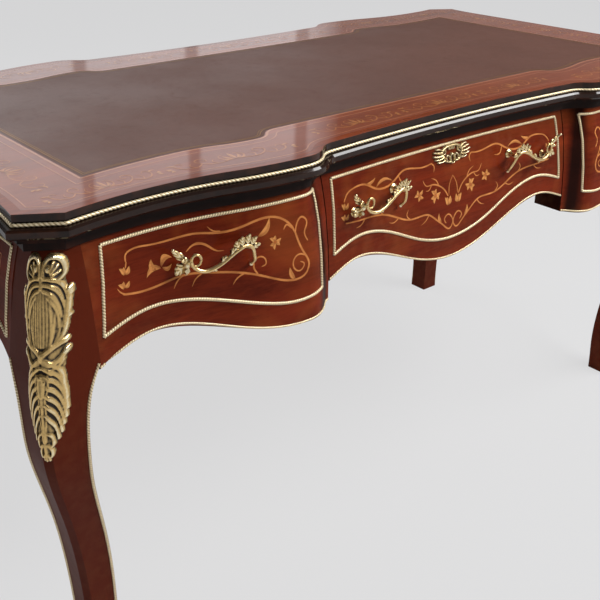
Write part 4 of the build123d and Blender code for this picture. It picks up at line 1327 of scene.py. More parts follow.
class Inlay:
    """Cuts designs into a face: flush pieces of wood, a hair proud of the ground."""

    LIFT = 0.10
    LAYER = 0.008
    LAYERS = 14
    SLIMNESS = 0.86
    STEP = 1.8
    LEAF_ROWS = 9
    CORNERS = 10

    def __init__(self, facing: Facing) -> None:
        """Works on the face that facing describes.

        Args:
            facing: Gives the point on a face at a place, and its outward direction.
        """
        self.facing = facing
        self.work = Work()
        self.sheets = 0

    def _sheet(self, rows: Sequence[Sequence[Point2]], shade: Callable[[int, int], float],
               hue: float) -> None:
        """Adds a flat sheet with its face outward.

        Args:
            rows: The places of its points, row by row.
            shade: Gives a point's shade, 1 for clean wood, from its row and column.
            hue: The wood, 0 for pale and 1 for warm.
        """
        lift = self.LIFT + self.LAYER * (self.sheets % self.LAYERS)
        self.sheets += 1
        faces = [[self.facing(*place) for place in row] for row in rows]
        solid = [[point + out * lift for point, out in row] for row in faces]
        middle = len(rows) // 2
        first, second = solid[middle], solid[middle - 1]
        wide = first[-1] - first[0]
        if (first[0] - second[0]).cross(wide).dot(faces[middle][0][1]) > 0:
            self.work.grid([line[::-1] for line in solid], lambda r, c: shade(r, len(rows[0]) - 1 - c), hue)
        else:
            self.work.grid(solid, shade, hue)

    def ribbon(self, vine: Vine, move: Move, hue: float) -> None:
        """Adds a vine.

        Args:
            vine: The vine.
            move: Takes a place of the design to its place on the face.
            hue: The wood, 0 for pale and 1 for warm.
        """
        path = spline(vine.points, self.STEP)
        ways = tangents(path)
        start, middle, end = vine.widths
        rows = []
        for index, (p, way) in enumerate(zip(path, ways)):
            share = index / (len(path) - 1)
            width = start + (middle - start) * min(1.0, share / 0.3) if share < 0.5 else (
                middle + (end - middle) * max(0.0, (share - 0.6) / 0.4))
            width *= min(1.0, 0.35 + 3.0 * min(share, 1 - share) * len(path) / 6)
            side = Vector((-way.y, way.x, 0)) * (width * self.SLIMNESS / 2)
            rows.append([move((q.x, q.y)) for q in (p + side, p, p - side)])
        self._sheet(rows, lambda r, c: (0.82, 1.0, 0.9)[c] * (0.86 + 0.14 * math.sin(0.35 * r)), hue)

    def blade(self, leaf: Blade, move: Move, hue: float) -> None:
        """Adds a leaf, one half of it darker and its base scorched.

        Args:
            leaf: The leaf.
            move: Takes a place of the design to its place on the face.
            hue: The wood, 0 for pale and 1 for warm.
        """
        base, tip = Vector((*leaf.base, 0)), Vector((*leaf.tip, 0))
        along = tip - base
        aside = Vector((-along.y, along.x, 0))
        rows = []
        for r in range(self.LEAF_ROWS + 1):
            t = r / self.LEAF_ROWS
            middle = base + along * t + aside * (leaf.bend * 4 * t * (1 - t))
            half = leaf.width / 2 * math.sin(math.pi * (0.04 + 0.96 * t) ** 0.8) ** 0.8 if t < 1 else 0.02
            side = aside.normalized() * half
            line = (middle + side, middle + side * 0.12, middle - side * 0.12, middle - side)
            rows.append([move((q.x, q.y)) for q in line])
        self._sheet(rows, lambda r, c: (1.0, 0.95, 0.62, 0.72)[c] * min(1.0, 0.35 + r / 4), hue)

    def disc(self, centre: Point2, radius: float, move: Move, hue: float) -> None:
        """Adds a small round piece.

        Args:
            centre: Its place in the design.
            radius: Its radius.
            move: Takes a place of the design to its place on the face.
            hue: The wood, 0 for pale and 1 for warm.
        """
        angles = [2 * math.pi * k / self.CORNERS for k in range(self.CORNERS + 1)]
        rows = [[move((centre[0] + radius * share * math.cos(a), centre[1] + radius * share * math.sin(a)))
                 for a in angles] for share in (0.05, 1.0)]
        self._sheet(rows, lambda r, c: 0.9 - 0.45 * r, hue)

    def draw(self, pattern: Pattern, move: Move = lambda p: p,
             hue: float = 0.5) -> None:
        """Adds a whole design.

        Args:
            pattern: The design.
            move: Takes a place of the design to its place on the face.
            hue: The wood of its vines.
        """
        for vine in pattern.vines:
            self.ribbon(vine, move, hue)
        for leaf in pattern.blades:
            self.blade(leaf, move, hue * 0.6)
        for flower in pattern.flowers:
            for leaf in flower.blades():
                self.blade(leaf, move, hue * 0.35)
            if flower.spread == 360.0:
                self.disc(flower.centre, flower.reach * 0.17, move, 1.0)

    def string_line(self, line: Sequence[Vector], width: float, hue: float) -> None:
        """Adds a line of even width along places on the face.

        Args:
            line: The places, in order.
            width: The line's width.
            hue: The wood.
        """
        closed = (line[0] - line[-1]).length < 0.01
        rows = []
        for p, way in zip(line, tangents(line, closed)):
            side = Vector((-way.y, way.x, 0)) * (width / 2)
            rows.append([(p.x + side.x, p.y + side.y), (p.x - side.x, p.y - side.y)])
        self._sheet(rows, lambda r, c: 0.95, hue)


def mirror(point: Point2) -> Point2:
    """The place on the other side of the middle."""
    return (-point[0], point[1])


END = Pattern(
    vines=(
        Vine(((-641, 686), (-639, 696), (-633, 699), (-606, 699), (-570, 698), (-534, 698), (-503, 693),
              (-471, 694), (-445, 699), (-422, 700), (-402, 693), (-388, 679), (-380, 658), (-370, 636),
              (-363, 620), (-369, 606), (-389, 601), (-411, 606), (-443, 620), (-480, 633), (-518, 641),
              (-560, 647), (-600, 643), (-630, 643), (-652, 647)), (2.6, 3.8, 3.6)),
        Vine(((-384, 667), (-379, 682), (-369, 689), (-361, 681), (-367, 668), (-362, 653)),
             (1.8, 3.2, 2.4)),
        Vine(((-369, 633), (-381, 637), (-391, 629), (-389, 617), (-378, 613), (-372, 621), (-379, 626)),
             (3.0, 2.8, 2.2)),
        Vine(((-403, 678), (-397, 684), (-389, 677)), (1.0, 2.8, 2.4)),
        Vine(((-450, 624), (-456, 637), (-449, 648), (-438, 645), (-437, 636), (-444, 634)),
             (3.0, 2.8, 2.2)),
        Vine(((-552, 677), (-540, 684), (-523, 681), (-506, 669), (-497, 668)), (1.4, 3.8, 1.0)),
        Vine(((-498, 694), (-509, 697), (-516, 704)), (3.4, 2.2, 0.8)),
        Vine(((-470, 630), (-482, 625), (-489, 617)), (3.4, 2.4, 0.8)),
        Vine(((-532, 643), (-543, 637), (-549, 628)), (3.2, 2.2, 0.8)),
        Vine(((-560, 647), (-570, 641), (-576, 632)), (3.2, 2.2, 0.8)),
        Vine(((-648, 646), (-655, 651), (-659, 657))),
        Vine(((-640, 687), (-643, 679)), (2.4, 2.2, 1.8))),
    blades=(Blade((-444, 677), (-423, 700), 8.0, -0.16), Blade((-390, 602), (-398, 622), 7.0, 0.1),
            Blade((-592, 666), (-614, 658), 8.5, -0.25), Blade((-600, 664), (-604, 680), 8.0, 0.2),
            Blade((-591, 668), (-573, 675), 9.0, 0.35), Blade((-589, 665), (-575, 667), 6.0, -0.3)),
    flowers=(Flower((-419, 664), 11.0, 6, 20.0), Flower((-645, 670), 13.0, 3, 88.0, 70.0),
             Flower((-648, 653), 12.0, 3, 92.0, 90.0)))

HALF = Pattern(
    vines=(
        Vine(((-259, 676), (-250, 687), (-236, 692), (-206, 691), (-187, 681), (-159, 678), (-139, 685),
              (-121, 694), (-94, 693), (-70, 690), (-49, 692)), (2.4, 3.8, 2.6)),
        Vine(((-259, 643), (-228, 640), (-200, 639), (-172, 635), (-139, 622), (-110, 611), (-85, 610),
              (-64, 608), (-44, 595), (-23, 579), (-8, 571), (-1, 579), (-4, 591), (-14, 597), (-22, 590),
              (-17, 582)), (2.6, 3.6, 2.8)),
        Vine(((-131, 688), (-124, 677), (-110, 677)), (3.0, 2.8, 1.0)),
        Vine(((-52, 692), (-45, 687), (-47, 677)), (2.4, 2.6, 1.0)),
        Vine(((-13, 629), (-22, 642), (-36, 652), (-53, 657), (-67, 658), (-75, 669)), (3.0, 3.0, 1.2)),
        Vine(((-36, 652), (-42, 662), (-54, 668)), (2.6, 2.2, 0.8)),
        Vine(((-54, 657), (-62, 649), (-69, 650)), (2.4, 2.0, 0.8)),
        Vine(((-11, 630), (-9, 648), (0, 663)), (1.4, 2.2, 1.2)),
        Vine(((-172, 635), (-179, 643), (-174, 652))),
        Vine(((-108, 611), (-117, 620), (-112, 629))),
        Vine(((-62, 607), (-71, 598), (-82, 594))),
        Vine(((-137, 621), (-149, 616), (-160, 619))),
        Vine(((-215, 640), (-224, 632), (-236, 630)), (2.8, 2.0, 0.8))),
    blades=(Blade((-185, 682), (-146, 684), 5.0, 0.2), Blade((-206, 691), (-184, 697), 5.0, -0.1),
            Blade((-30, 587), (-36, 604), 6.0, 0.15)),
    flowers=(Flower((-45, 637), 13.5, 6, 15.0), Flower((-85, 646), 12.0, 5, 40.0),
             Flower((-13, 612), 18.0, 3, 94.0, 44.0), Flower((-258, 663), 13.0, 3, 88.0, 70.0),
             Flower((-259, 647), 12.0, 3, 92.0, 90.0)))

SIDE = Pattern(
    vines=(
        Vine(((-232, 664), (-222, 684), (-196, 690), (-168, 682), (-140, 672), (-108, 676), (-78, 686),
              (-46, 684), (-20, 672)), (2.4, 3.6, 2.6)),
        Vine(((-236, 648), (-214, 640), (-180, 642), (-140, 634), (-104, 622), (-66, 618), (-34, 610),
              (-14, 616), (-12, 628), (-22, 632)), (2.6, 3.4, 2.4)),
        Vine(((-168, 682), (-158, 668), (-168, 658), (-180, 664)), (3.0, 2.6, 2.0)),
        Vine(((-104, 677), (-96, 664), (-84, 662)), (3.0, 2.4, 1.0)),
        Vine(((-140, 634), (-150, 644), (-144, 654))),
        Vine(((-66, 618), (-76, 628), (-72, 638)))),
    blades=(Blade((-196, 690), (-176, 698), 5.0, -0.1), Blade((-50, 684), (-34, 694), 5.0, -0.12)),
    flowers=(Flower((-118, 652), 11.0, 6, 20.0), Flower((-52, 656), 10.0, 5, 50.0),
             Flower((-234, 656), 13.0, 3, 90.0, 70.0)))

MOTIF = Pattern(
    vines=(
        Vine(((4, -6), (20, -12), (38, -12), (52, -3), (57, 8), (49, 15), (40, 11), (41, 4), (47, 5)),
             (2.0, 3.0, 1.8)),
        Vine(((52, -4), (63, -13), (79, -12), (90, -1), (89, 9), (81, 11), (78, 5)), (2.4, 2.8, 1.6)),
        Vine(((30, -13), (35, -4), (28, 5)), (2.4, 2.0, 0.7)),
        Vine(((66, -14), (71, -4), (65, 4)), (2.4, 2.0, 0.7)),
        Vine(((8, -8), (19, 0), (17, 11), (8, 14)), (1.4, 2.4, 1.4))),
    blades=(Blade((2, -9), (12, 9), 5.0, -0.15),
            Blade((3, -10), (20, 2), 4.5, -0.18), Blade((88, 2), (104, 8), 4.0, 0.2)),
    flowers=(Flower((97, -6), 11.0, 3, -8.0, 80.0),))

CREST = Pattern(blades=(Blade((0, -10), (0, 17), 7.0),))
STAR = Pattern(flowers=(Flower((0, 640), 20.0, 3, 90.0, 60.0),))


@dataclass
class Marquetry:
    """The inlaid designs of the fronts, the sides, the back and the top."""

    bench: Bench
    plan: TopPlan
    leather: LeatherPlan
    top_z: float = 780.0
    side_scale: float = 0.905
    side_rise: float = 22.0
    side_top: float = 697.0
    side_line: float = 1.6
    front_hue: float = 0.55
    side_hue: float = 0.7
    top_hue: float = 0.6
    step: float = 3.0
    rope_gap: float = 24.0
    leather_gap: float = 17.0
    leather_edge: float = 3.2

    def face(self, name: str, canvas: Canvas, body: str, draws: Sequence[tuple[Pattern, bool]]) -> None:
        """Makes the inlay of one front.

        Args:
            name: The piece's name.
            canvas: The face.
            body: The body that it rides on.
            draws: The designs, each with whether it is turned over.
        """
        inlay = Inlay(canvas.facing)
        for pattern, turned in draws:
            inlay.draw(pattern, mirror if turned else (lambda p: p), self.front_hue)
        inlay.work.piece(name, self.bench.marquetry, body, "marquetry_veneer")

    def fronts(self, canvases: dict[str, Canvas]) -> None:
        """Makes the inlay of the drawers' fronts and of the back's panels.

        Args:
            canvases: The faces by name.
        """
        draws = {"left": [(END, False)], "centre": [(HALF, False), (HALF, True)],
                 "right": [(END, True)]}
        for part in Layout.PARTS:
            self.face(f"marquetry_{part}", canvases[part], f"drawer_{part}", draws[part])
        for part in Layout.PARTS:
            self.face(f"marquetry_back_{part}", canvases[f"back_{part}"], "carcass", draws[part])

    def side(self, name: str, canvas: Canvas) -> None:
        """Makes the inlay of a side: a string line frame and a scrolling design.

        Args:
            name: The piece's name.
            canvas: The side's face.
        """
        inlay = Inlay(canvas.facing)
        inlay.draw(SIDE, hue=self.side_hue)
        inlay.draw(SIDE, mirror, self.side_hue)
        inlay.draw(STAR, hue=self.side_hue)
        inlay.work.piece(name, self.bench.marquetry, "carcass", "marquetry_veneer")
        lines = Inlay(canvas.facing)
        lower = spline([(y * self.side_scale, z + self.side_rise) for y, z in Layout.SIDE_FRAME], 4.0)
        corners = [lower[-1], Vector((lower[-1].x, self.side_top, 0)),
                   Vector((lower[0].x, self.side_top, 0)), lower[0]]
        lines.string_line(lower, self.side_line, 0.4)
        for start, end in zip(corners, corners[1:]):
            lines.string_line(even_steps([start, end], 5.0), self.side_line, 0.4)
        lines.work.piece(f"{name}_lines", self.bench.stringing, "carcass", "marquetry_veneer")

    def spots(self) -> list[tuple[float, float, float, float]]:
        """Where the border's motifs stand on the top: x, y, turn in radians and stretch.

        Returns:
            One row for each motif.
        """
        found = []
        for sy in (-1, 1):
            turn = 0.0 if sy < 0 else math.pi
            found += [(x, sy * y, turn, 0.86) for x, y in ((-195.0, 301.0), (0.0, 298.0), (195.0, 301.0))]
            for sx in (-1, 1):
                found += [(sx * 448.0, sy * 323.0, turn - sy * sx * 0.07, 0.98),
                          (sx * 645.0, sy * 316.0, turn + sy * sx * 0.045, 0.8)]
        for sx in (-1, 1):
            turn = math.pi / 2 if sx > 0 else -math.pi / 2
            found += [(sx * 712.0, y, turn, 0.86) for y in (-195.0, 0.0, 195.0)]
        return found

    def flat(self, x: float, y: float) -> tuple[Vector, Vector]:
        """A point on the top, and the way up."""
        return Vector((x, y, self.top_z)), Vector((0, 0, 1))

    def border(self) -> None:
        """Makes the top's inlaid border and its string lines."""
        inlay = Inlay(self.flat)
        for x, y, turn, stretch in self.spots():
            for hand in (1, -1):
                def move(p: Point2, hand: int = hand) -> Point2:
                    """Takes a place of the motif to its place on the top."""
                    u, v = p[0] * hand * stretch, p[1]
                    return (x + u * math.cos(turn) - v * math.sin(turn),
                            y + u * math.sin(turn) + v * math.cos(turn))

                inlay.draw(MOTIF, move, self.top_hue)
            inlay.draw(CREST, move, self.top_hue)
        inlay.work.piece("top_border_marquetry", self.bench.top_marquetry, "carcass", "top_veneer")
        lines = Inlay(self.flat)
        lines.string_line(self.plan.outline(self.rope_gap, self.step), 1.8, 0.2)
        lines.string_line(self.leather.outline(-self.leather_gap, self.step), 1.8, 0.2)
        lines.string_line(self.leather.outline(-self.leather_edge, self.step), 3.6, 0.0)
        lines.work.piece("top_string_lines", self.bench.top_stringing, "carcass", "top_veneer")

    def tooling(self) -> None:
        """Makes the gold lines tooled into the leather."""
        lines = Inlay(self.flat)
        for inset, width in ((7.0, 1.1), (10.5, 0.7)):
            lines.string_line(self.leather.outline(inset, self.step), width, 0.5)
        lines.work.piece("tooled_gold_lines", self.bench.tooling, "carcass", "tooled_leather")


# ---- chased reliefs
@dataclass(frozen=True)
class Stroke:
    """One rounded rib of a relief: where it runs, its half width at both ends, and its height."""

    points: tuple[Point2, ...]
    start: float
    end: float
    height: float
    groove: float = 0.0

    def flipped(self) -> "Stroke":
        """The same rib on the other side of the middle."""
        return Stroke(tuple((-x, z) for x, z in self.points), self.start, self.end, self.height, self.groove)


def ribs(*drawn: tuple) -> list[Stroke]:
    """Ribs from their points, half widths, height and, where they have one, groove."""
    return [Stroke(*rib) for rib in drawn]


@dataclass
class Relief:
    """Cast ornament drawn with ribs on a plate."""

    strokes: list[Stroke]
    low: Point2
    high: Point2
    cell: float
    plate: Field | None = None
    hole: Field | None = None
    step: float = 1.2
    sunk: float = 0.4
    tone: float = 0.55
    contrast: float = 0.28
    blur: int = 14

    def heights(self) -> tuple[np.ndarray, np.ndarray, np.ndarray]:
        """The grid's places across and up, and the relief's height at each.

        Returns:
            Three arrays of the same shape; a height below 0 is outside the ornament.
        """
        across = np.arange(self.low[0], self.high[0] + self.cell, self.cell)
        up = np.arange(self.low[1], self.high[1] + self.cell, self.cell)
        u, v = np.meshgrid(across, up)
        raised = self.plate(u, v) if self.plate else np.full(u.shape, -1.0)
        for stroke in self.strokes:
            samples = spline(stroke.points, self.step)
            nearest, taper = np.zeros(u.shape), np.full(u.shape, stroke.height)
            for index, p in enumerate(samples):
                share = index / max(1, len(samples) - 1)
                radius = stroke.start + (stroke.end - stroke.start) * share
                near = 1 - ((u - p.x) ** 2 + (v - p.y) ** 2) / radius**2
                closer = near > nearest
                nearest = np.where(closer, near, nearest)
                tapered = stroke.height * (0.7 + 0.3 * radius / max(stroke.start, stroke.end))
                taper = np.where(closer, tapered, taper)
            cut = stroke.groove * np.exp(-(1 - nearest) / 0.07)
            raised = np.maximum(raised, np.where(nearest > 0, taper * np.sqrt(nearest) - cut, -1.0))
        if self.hole:
            raised = np.where(self.hole(u, v), -1.0, raised)
        return u, v, raised

    @staticmethod
    def blurred(heights: np.ndarray, times: int) -> np.ndarray:
        """A softened copy.

        Args:
            heights: The heights, by row and column.
            times: How often they are softened.

        Returns:
            The soft heights.
        """
        for _ in range(times):
            padded = np.pad(heights, 1, mode="edge")
            heights = (padded[:-2, 1:-1] + padded[2:, 1:-1] + padded[1:-1, :-2] + padded[1:-1, 2:]
                       + 2 * padded[1:-1, 1:-1]) / 6
        return heights

    def build(self, work: Work, place: Callable[[float, float, float], Vector]) -> None:
        """Adds the relief to a piece.

        Args:
            work: The piece.
            place: Gives a point from the place across, the place up and the height.
        """
        u, v, raised = self.heights()
        inside = raised > 0
        soft = self.blurred(np.maximum(raised, 0.0), 1)
        crest = np.clip(self.tone + (soft - self.blurred(soft, self.blur)) * self.contrast, 0, 1)
        rows, columns = u.shape
        used = np.full(u.shape, -1)
        for r in range(rows - 1):
            for c in range(columns - 1):
                if not inside[r:r + 2, c:c + 2].any():
                    continue
                corners = ((r, c), (r, c + 1), (r + 1, c + 1), (r + 1, c))
                for corner in corners:
                    if used[corner] < 0:
                        used[corner] = len(work.points)
                        height = float(soft[corner]) if inside[corner] else -self.sunk
                        work.points.append(place(float(u[corner]), float(v[corner]), height))
                        work.relief.append(float(crest[corner]) if inside[corner] else 0.3)
                        work.hue.append(0.5)
                work.faces.append(tuple(int(used[corner]) for corner in corners))


# ---- knee mounts
@dataclass
class KneeMount:
    """Gilt leaf mount over the canted corner of a knee, drawn by places across it and heights."""

    bench: Bench
    outline: tuple[Point2, ...] = ((462, 4), (490, 13), (546, 24), (603, 32), (662, 34), (700, 30), (722, 26))
    plate_z: Point2 = (466.0, 716.0)
    rim: float = 3.0
    cell: float = 1.0
    low: Point2 = (-39.0, 459.0)
    high: Point2 = (39.0, 727.0)
    front_share: float = 0.93
    side_share: float = 0.62
    flatness: float = 0.9
    column: float = 2.0
    row: float = 6.0
    half: float = 42.0
    levels: Point2 = (456.0, 734.0)
    reach: float = 200.0
    passes: int = 5

    CORNER = Vector((*Layout.KNEE, 0))
    OUT = Vector((-1, -1, 0)).normalized()
    ACROSS = Vector((1, -1, 0)).normalized()

    def lobes(self) -> list[Stroke]:
        """One scrolled lobe at the top, with shell ribs inside it."""
        return ribs(
            (((2, 700), (4, 713), (12, 721), (21, 719), (27, 710), (27, 700), (21, 695)),
             3.8, 3.0, 8.0, 1.2),
            (((12, 708), (14, 696)), 8.5, 7.0, 4.6), (((9, 709), (9, 707)), 5.0, 4.4, 9.0),
            (((13, 703), (20, 711)), 2.2, 1.8, 7.0), (((14, 700), (23, 704)), 2.2, 1.8, 6.8),
            (((12, 705), (15, 715)), 2.2, 1.8, 7.0))

    def leaves(self) -> list[Stroke]:
        """The leaf ribs under the lobes, the rims and the crossed leaves of the collar."""
        return ribs(
            (((4, 697), (15, 696), (26, 687), (31, 670)), 3.6, 2.0, 7.6, 1.5),
            (((4, 690), (14, 688), (23, 678), (28, 661)), 3.6, 2.0, 7.2, 1.5),
            (((4, 683), (12, 680), (20, 669), (25, 650)), 3.4, 1.8, 6.8, 1.4),
            (((10, 676), (16, 668), (21, 655), (22, 638)), 3.0, 1.6, 6.4, 1.2),
            (((33, 681), (34, 677)), 4.6, 4.2, 8.0),
            (((33, 676), (32, 660), (30, 645), (27, 631), (20, 620)), 3.6, 3.2, 7.4, 1.4),
            (((28, 668), (28, 652), (25, 638)), 2.4, 2.0, 5.6),
            (((32, 652), (33, 650)), 3.4, 3.4, 7.0),
            (((12, 618), (16, 636), (18, 656)), 3.0, 1.2, 6.2, 1.0),
            (((17, 619), (22, 632), (24, 646)), 2.8, 1.2, 6.0, 1.0),
            (((29, 621), (17, 617), (7, 611), (0, 604)), 4.4, 4.4, 8.2, 1.6),
            (((0, 603), (10, 596), (22, 599), (29, 608)), 4.4, 4.0, 8.0, 1.6),
            (((29, 607), (30, 609)), 4.6, 4.6, 8.6),
            (((2, 598), (10, 590), (18, 590), (26, 598)), 3.2, 2.4, 7.0, 1.0),
            (((0, 592), (8, 591), (14, 584)), 3.4, 2.6, 8.4, 1.0),
            (((9, 583), (9, 566), (5, 554)), 2.8, 1.8, 7.2))

    def sweep(self) -> list[Stroke]:
        """The long leaf ribs that sweep down beside the stem, and the leaves of the tip."""
        long = [(((5, z), (reach * 0.5, z - 5), (reach * 0.84, z - drop * 0.42), (reach, z - drop)),
                 thick, 2.0, 8.4, 1.8)
                for z, reach, drop, thick in ((601, 27, 36, 3.9), (591, 29, 43, 4.0), (581, 29, 48, 4.0),
                                              (570, 27, 48, 3.9), (558, 24, 45, 3.7), (545, 21, 42, 3.4),
                                              (531, 17, 36, 3.1))]
        return ribs(*long, (((1, 507), (8, 504), (12, 495), (9, 487), (5, 490)), 2.8, 2.2, 6.8, 1.0),
                    (((1, 490), (6, 486), (9, 478), (6, 471), (3, 474)), 2.6, 2.0, 6.2, 1.0),
                    (((1, 474), (4, 469), (4, 465)), 2.4, 1.6, 5.2))

    def strokes(self) -> list[Stroke]:
        """All its ribs, those beside the middle on both sides.

        Returns:
            The ribs.
        """
        both = self.lobes() + self.leaves() + self.sweep()
        fan = [(((k * 4.2, 617), (k * 4.6, 648), (k * 3.9, 684 - abs(k) * 2.6)), 2.5, 2.2, 5.4, 1.0)
               for k in range(-3, 4)]
        both += ribs((((5, 576), (4, 558)), 3.0, 2.2, 9.0), (((5, 553), (5, 528), (3, 508)), 2.2, 1.5, 6.6))
        middle = ribs(*fan, (((0, 607), (0, 602)), 6.2, 5.6, 9.4), (((0, 578), (0, 558)), 8.6, 6.6, 9.6, 1.4),
                      (((0, 556), (0, 530), (0, 506)), 4.4, 3.0, 7.4, 1.2),
                      (((0, 503), (0, 495)), 5.6, 5.0, 7.6, 1.2),
                      (((0, 489), (0, 476), (0, 464)), 4.4, 1.8, 6.4, 1.0),
                      (((0, 702), (0, 686)), 3.4, 4.0, 7.2, 1.2))
        return both + [stroke.flipped() for stroke in both] + middle

    def plate(self, u: np.ndarray, v: np.ndarray) -> np.ndarray:
        """The plate under the ribs: low, and a little swollen along its middle.

        Args:
            u: Places across.
            v: Heights of these places.

        Returns:
            How thick the plate is there, and -1 where it isn't.
        """
        heights, halves = zip(*self.outline)
        share = np.abs(u) / np.maximum(np.interp(v, heights, halves) - self.rim, 1.0)
        low, high = self.plate_z
        swollen = 1.9 + 1.6 * np.sqrt(np.maximum(0, 1 - share**2))
        return np.where((share < 1) & (v > low) & (v < high), swollen, -1.0)

    def ground(self, leg: Solid) -> Callable[[float, float], float]:
        """Measures a knee, and softens it across so that a mount bridges its arris.

        Args:
            leg: The front left leg.

        Returns:
            What gives the distance out from the knee's corner, by the place across and the height.
        """
        tree = faces_of(leg)
        offsets = np.arange(-self.half, self.half + self.column, self.column)
        levels = np.arange(*self.levels, self.row)
        depth = np.zeros((len(levels), len(offsets)))
        for r, z in enumerate(levels):
            for c, u in enumerate(offsets):
                start = self.CORNER + self.ACROSS * float(u) + self.OUT * self.reach
                hit = tree.ray_cast(start + Vector((0, 0, min(z, self.high[1]))), -self.OUT)[0]
                depth[r, c] = (hit - self.CORNER).dot(self.OUT) if hit else np.nan
            known = ~np.isnan(depth[r])
            depth[r] = np.interp(offsets, offsets[known], depth[r][known])
        soft = depth.copy()
        for _ in range(self.passes):
            soft[:, 1:-1] = (soft[:, :-2] + soft[:, 1:-1] + soft[:, 2:]) / 3
        rest = np.maximum(depth, soft)

        def surface(u: float, z: float) -> float:
            """The distance at a place, between the measured ones.

            Args:
                u: The place across.
                z: The height.

            Returns:
                The distance.
            """
            r = min(max((z - levels[0]) / self.row, 0), len(levels) - 1.001)
            c = min(max((u - offsets[0]) / self.column, 0), len(offsets) - 1.001)
            r0, c0 = int(r), int(c)
            fr, fc = r - r0, c - c0
            return ((rest[r0, c0] * (1 - fc) + rest[r0, c0 + 1] * fc) * (1 - fr)
                    + (rest[r0 + 1, c0] * (1 - fc) + rest[r0 + 1, c0 + 1] * fc) * fr)

        return surface

    def build(self, legs: dict[str, Solid]) -> None:
        """Makes the four mounts.

        Args:
            legs: The leg nodes by name.
        """
        surface = self.ground(legs["leg_front_left"])

        def place(u: float, z: float, height: float) -> Vector:
            """A point of the mount.

            Args:
                u: The place across.
                z: The height.
                height: How far the metal stands out.

            Returns:
                The point.
            """
            at = u * (self.front_share if u > 0 else self.side_share)
            out = self.OUT * (surface(at, z) + height * self.flatness)
            return self.CORNER + self.ACROSS * at + out + Vector((0, 0, z))

        one = Work()
        Relief(self.strokes(), self.low, self.high, self.cell, self.plate).build(one, place)
        for name, sx, sy in (("front_left", 1, 1), ("front_right", -1, 1), ("rear_left", 1, -1),
                             ("rear_right", -1, -1)):
            one.mirrored(sx, sy).piece(f"knee_leaf_mount_{name}", self.bench.gilt, "carcass", "gilt_bronze",
                                       [f"knee_mount_{name}"])


# ---- keyhole plate
@dataclass
class KeyholePlate:
    """Pierced rocaille plate round the keyhole of the middle drawer."""

    bench: Bench
    z: float = 700.0
    key_z: float = -5.5
    key_r: float = 2.6
    slot: float = 9.0
    slot_half: float = 1.2
    cell: float = 0.5
    lift: float = 0.2
    low: Point2 = (-47.0, -18.0)
    high: Point2 = (47.0, 16.0)

    def strokes(self) -> list[Stroke]:
        """Its ribs: a ring round the keyhole, an arch over it, curls under it, and fingers on both sides.

        Returns:
            The ribs.
        """
        ring = tuple((5.4 * math.cos(a), self.key_z - 3.0 + 7.4 * math.sin(a))
                     for a in np.linspace(0, 2 * math.pi, 13))
        both = ribs(
            (((0, 12), (10, 12), (20, 9), (27, 4)), 2.4, 2.0, 4.8),
            (((5, -13), (12, -13), (19, -9), (22, -3)), 1.9, 1.6, 4.4),
            (((12, -12), (15, -6), (11, -2), (7, -5)), 1.8, 1.3, 4.2),
            (((22, 6), (29, 10), (37, 11)), 2.3, 1.5, 4.6), (((24, 3), (33, 5), (43, 7)), 2.3, 1.5, 4.6),
            (((24, -1), (33, -1), (45, 1)), 2.3, 1.4, 4.6), (((22, -4), (31, -6), (42, -5)), 2.2, 1.4, 4.4),
            (((19, -9), (27, -11), (36, -10)), 2.1, 1.3, 4.2), (((16, 9), (16, 3), (20, 0)), 1.8, 1.3, 4.0),
            (((5, 7), (7, 12)), 1.6, 2.2, 4.6))
        middle = ribs((ring, 1.9, 1.9, 4.6), (((0, 8), (0, 12)), 2.2, 3.0, 5.2))
        return both + [stroke.flipped() for stroke in both] + middle

    def keyhole(self, u: np.ndarray, v: np.ndarray) -> np.ndarray:
        """Where the plate is pierced for the key.

        Args:
            u: Places across.
            v: Heights of these places.

        Returns:
            True where it is pierced.
        """
        round_part = u**2 + (v - self.key_z) ** 2 < self.key_r**2
        slot_part = (np.abs(u) < self.slot_half) & (v < self.key_z) & (v > self.key_z - self.slot)
        return round_part | slot_part

    def build(self, canvas: Canvas) -> None:
        """Makes the plate.

        Args:
            canvas: The face of the middle drawer.
        """
        def place(u: float, v: float, height: float) -> Vector:
            """A point of the plate."""
            point, out = canvas.facing(u, self.z + v)
            return point + out * (height + self.lift)

        plate = Work()
        Relief(self.strokes(), self.low, self.high, self.cell, None, self.keyhole).build(plate, place)
        plate.piece("rocaille_keyhole_plate", self.bench.pale_gilt, "drawer_centre", "gilt_bronze",
                    ["keyhole_escutcheon"])


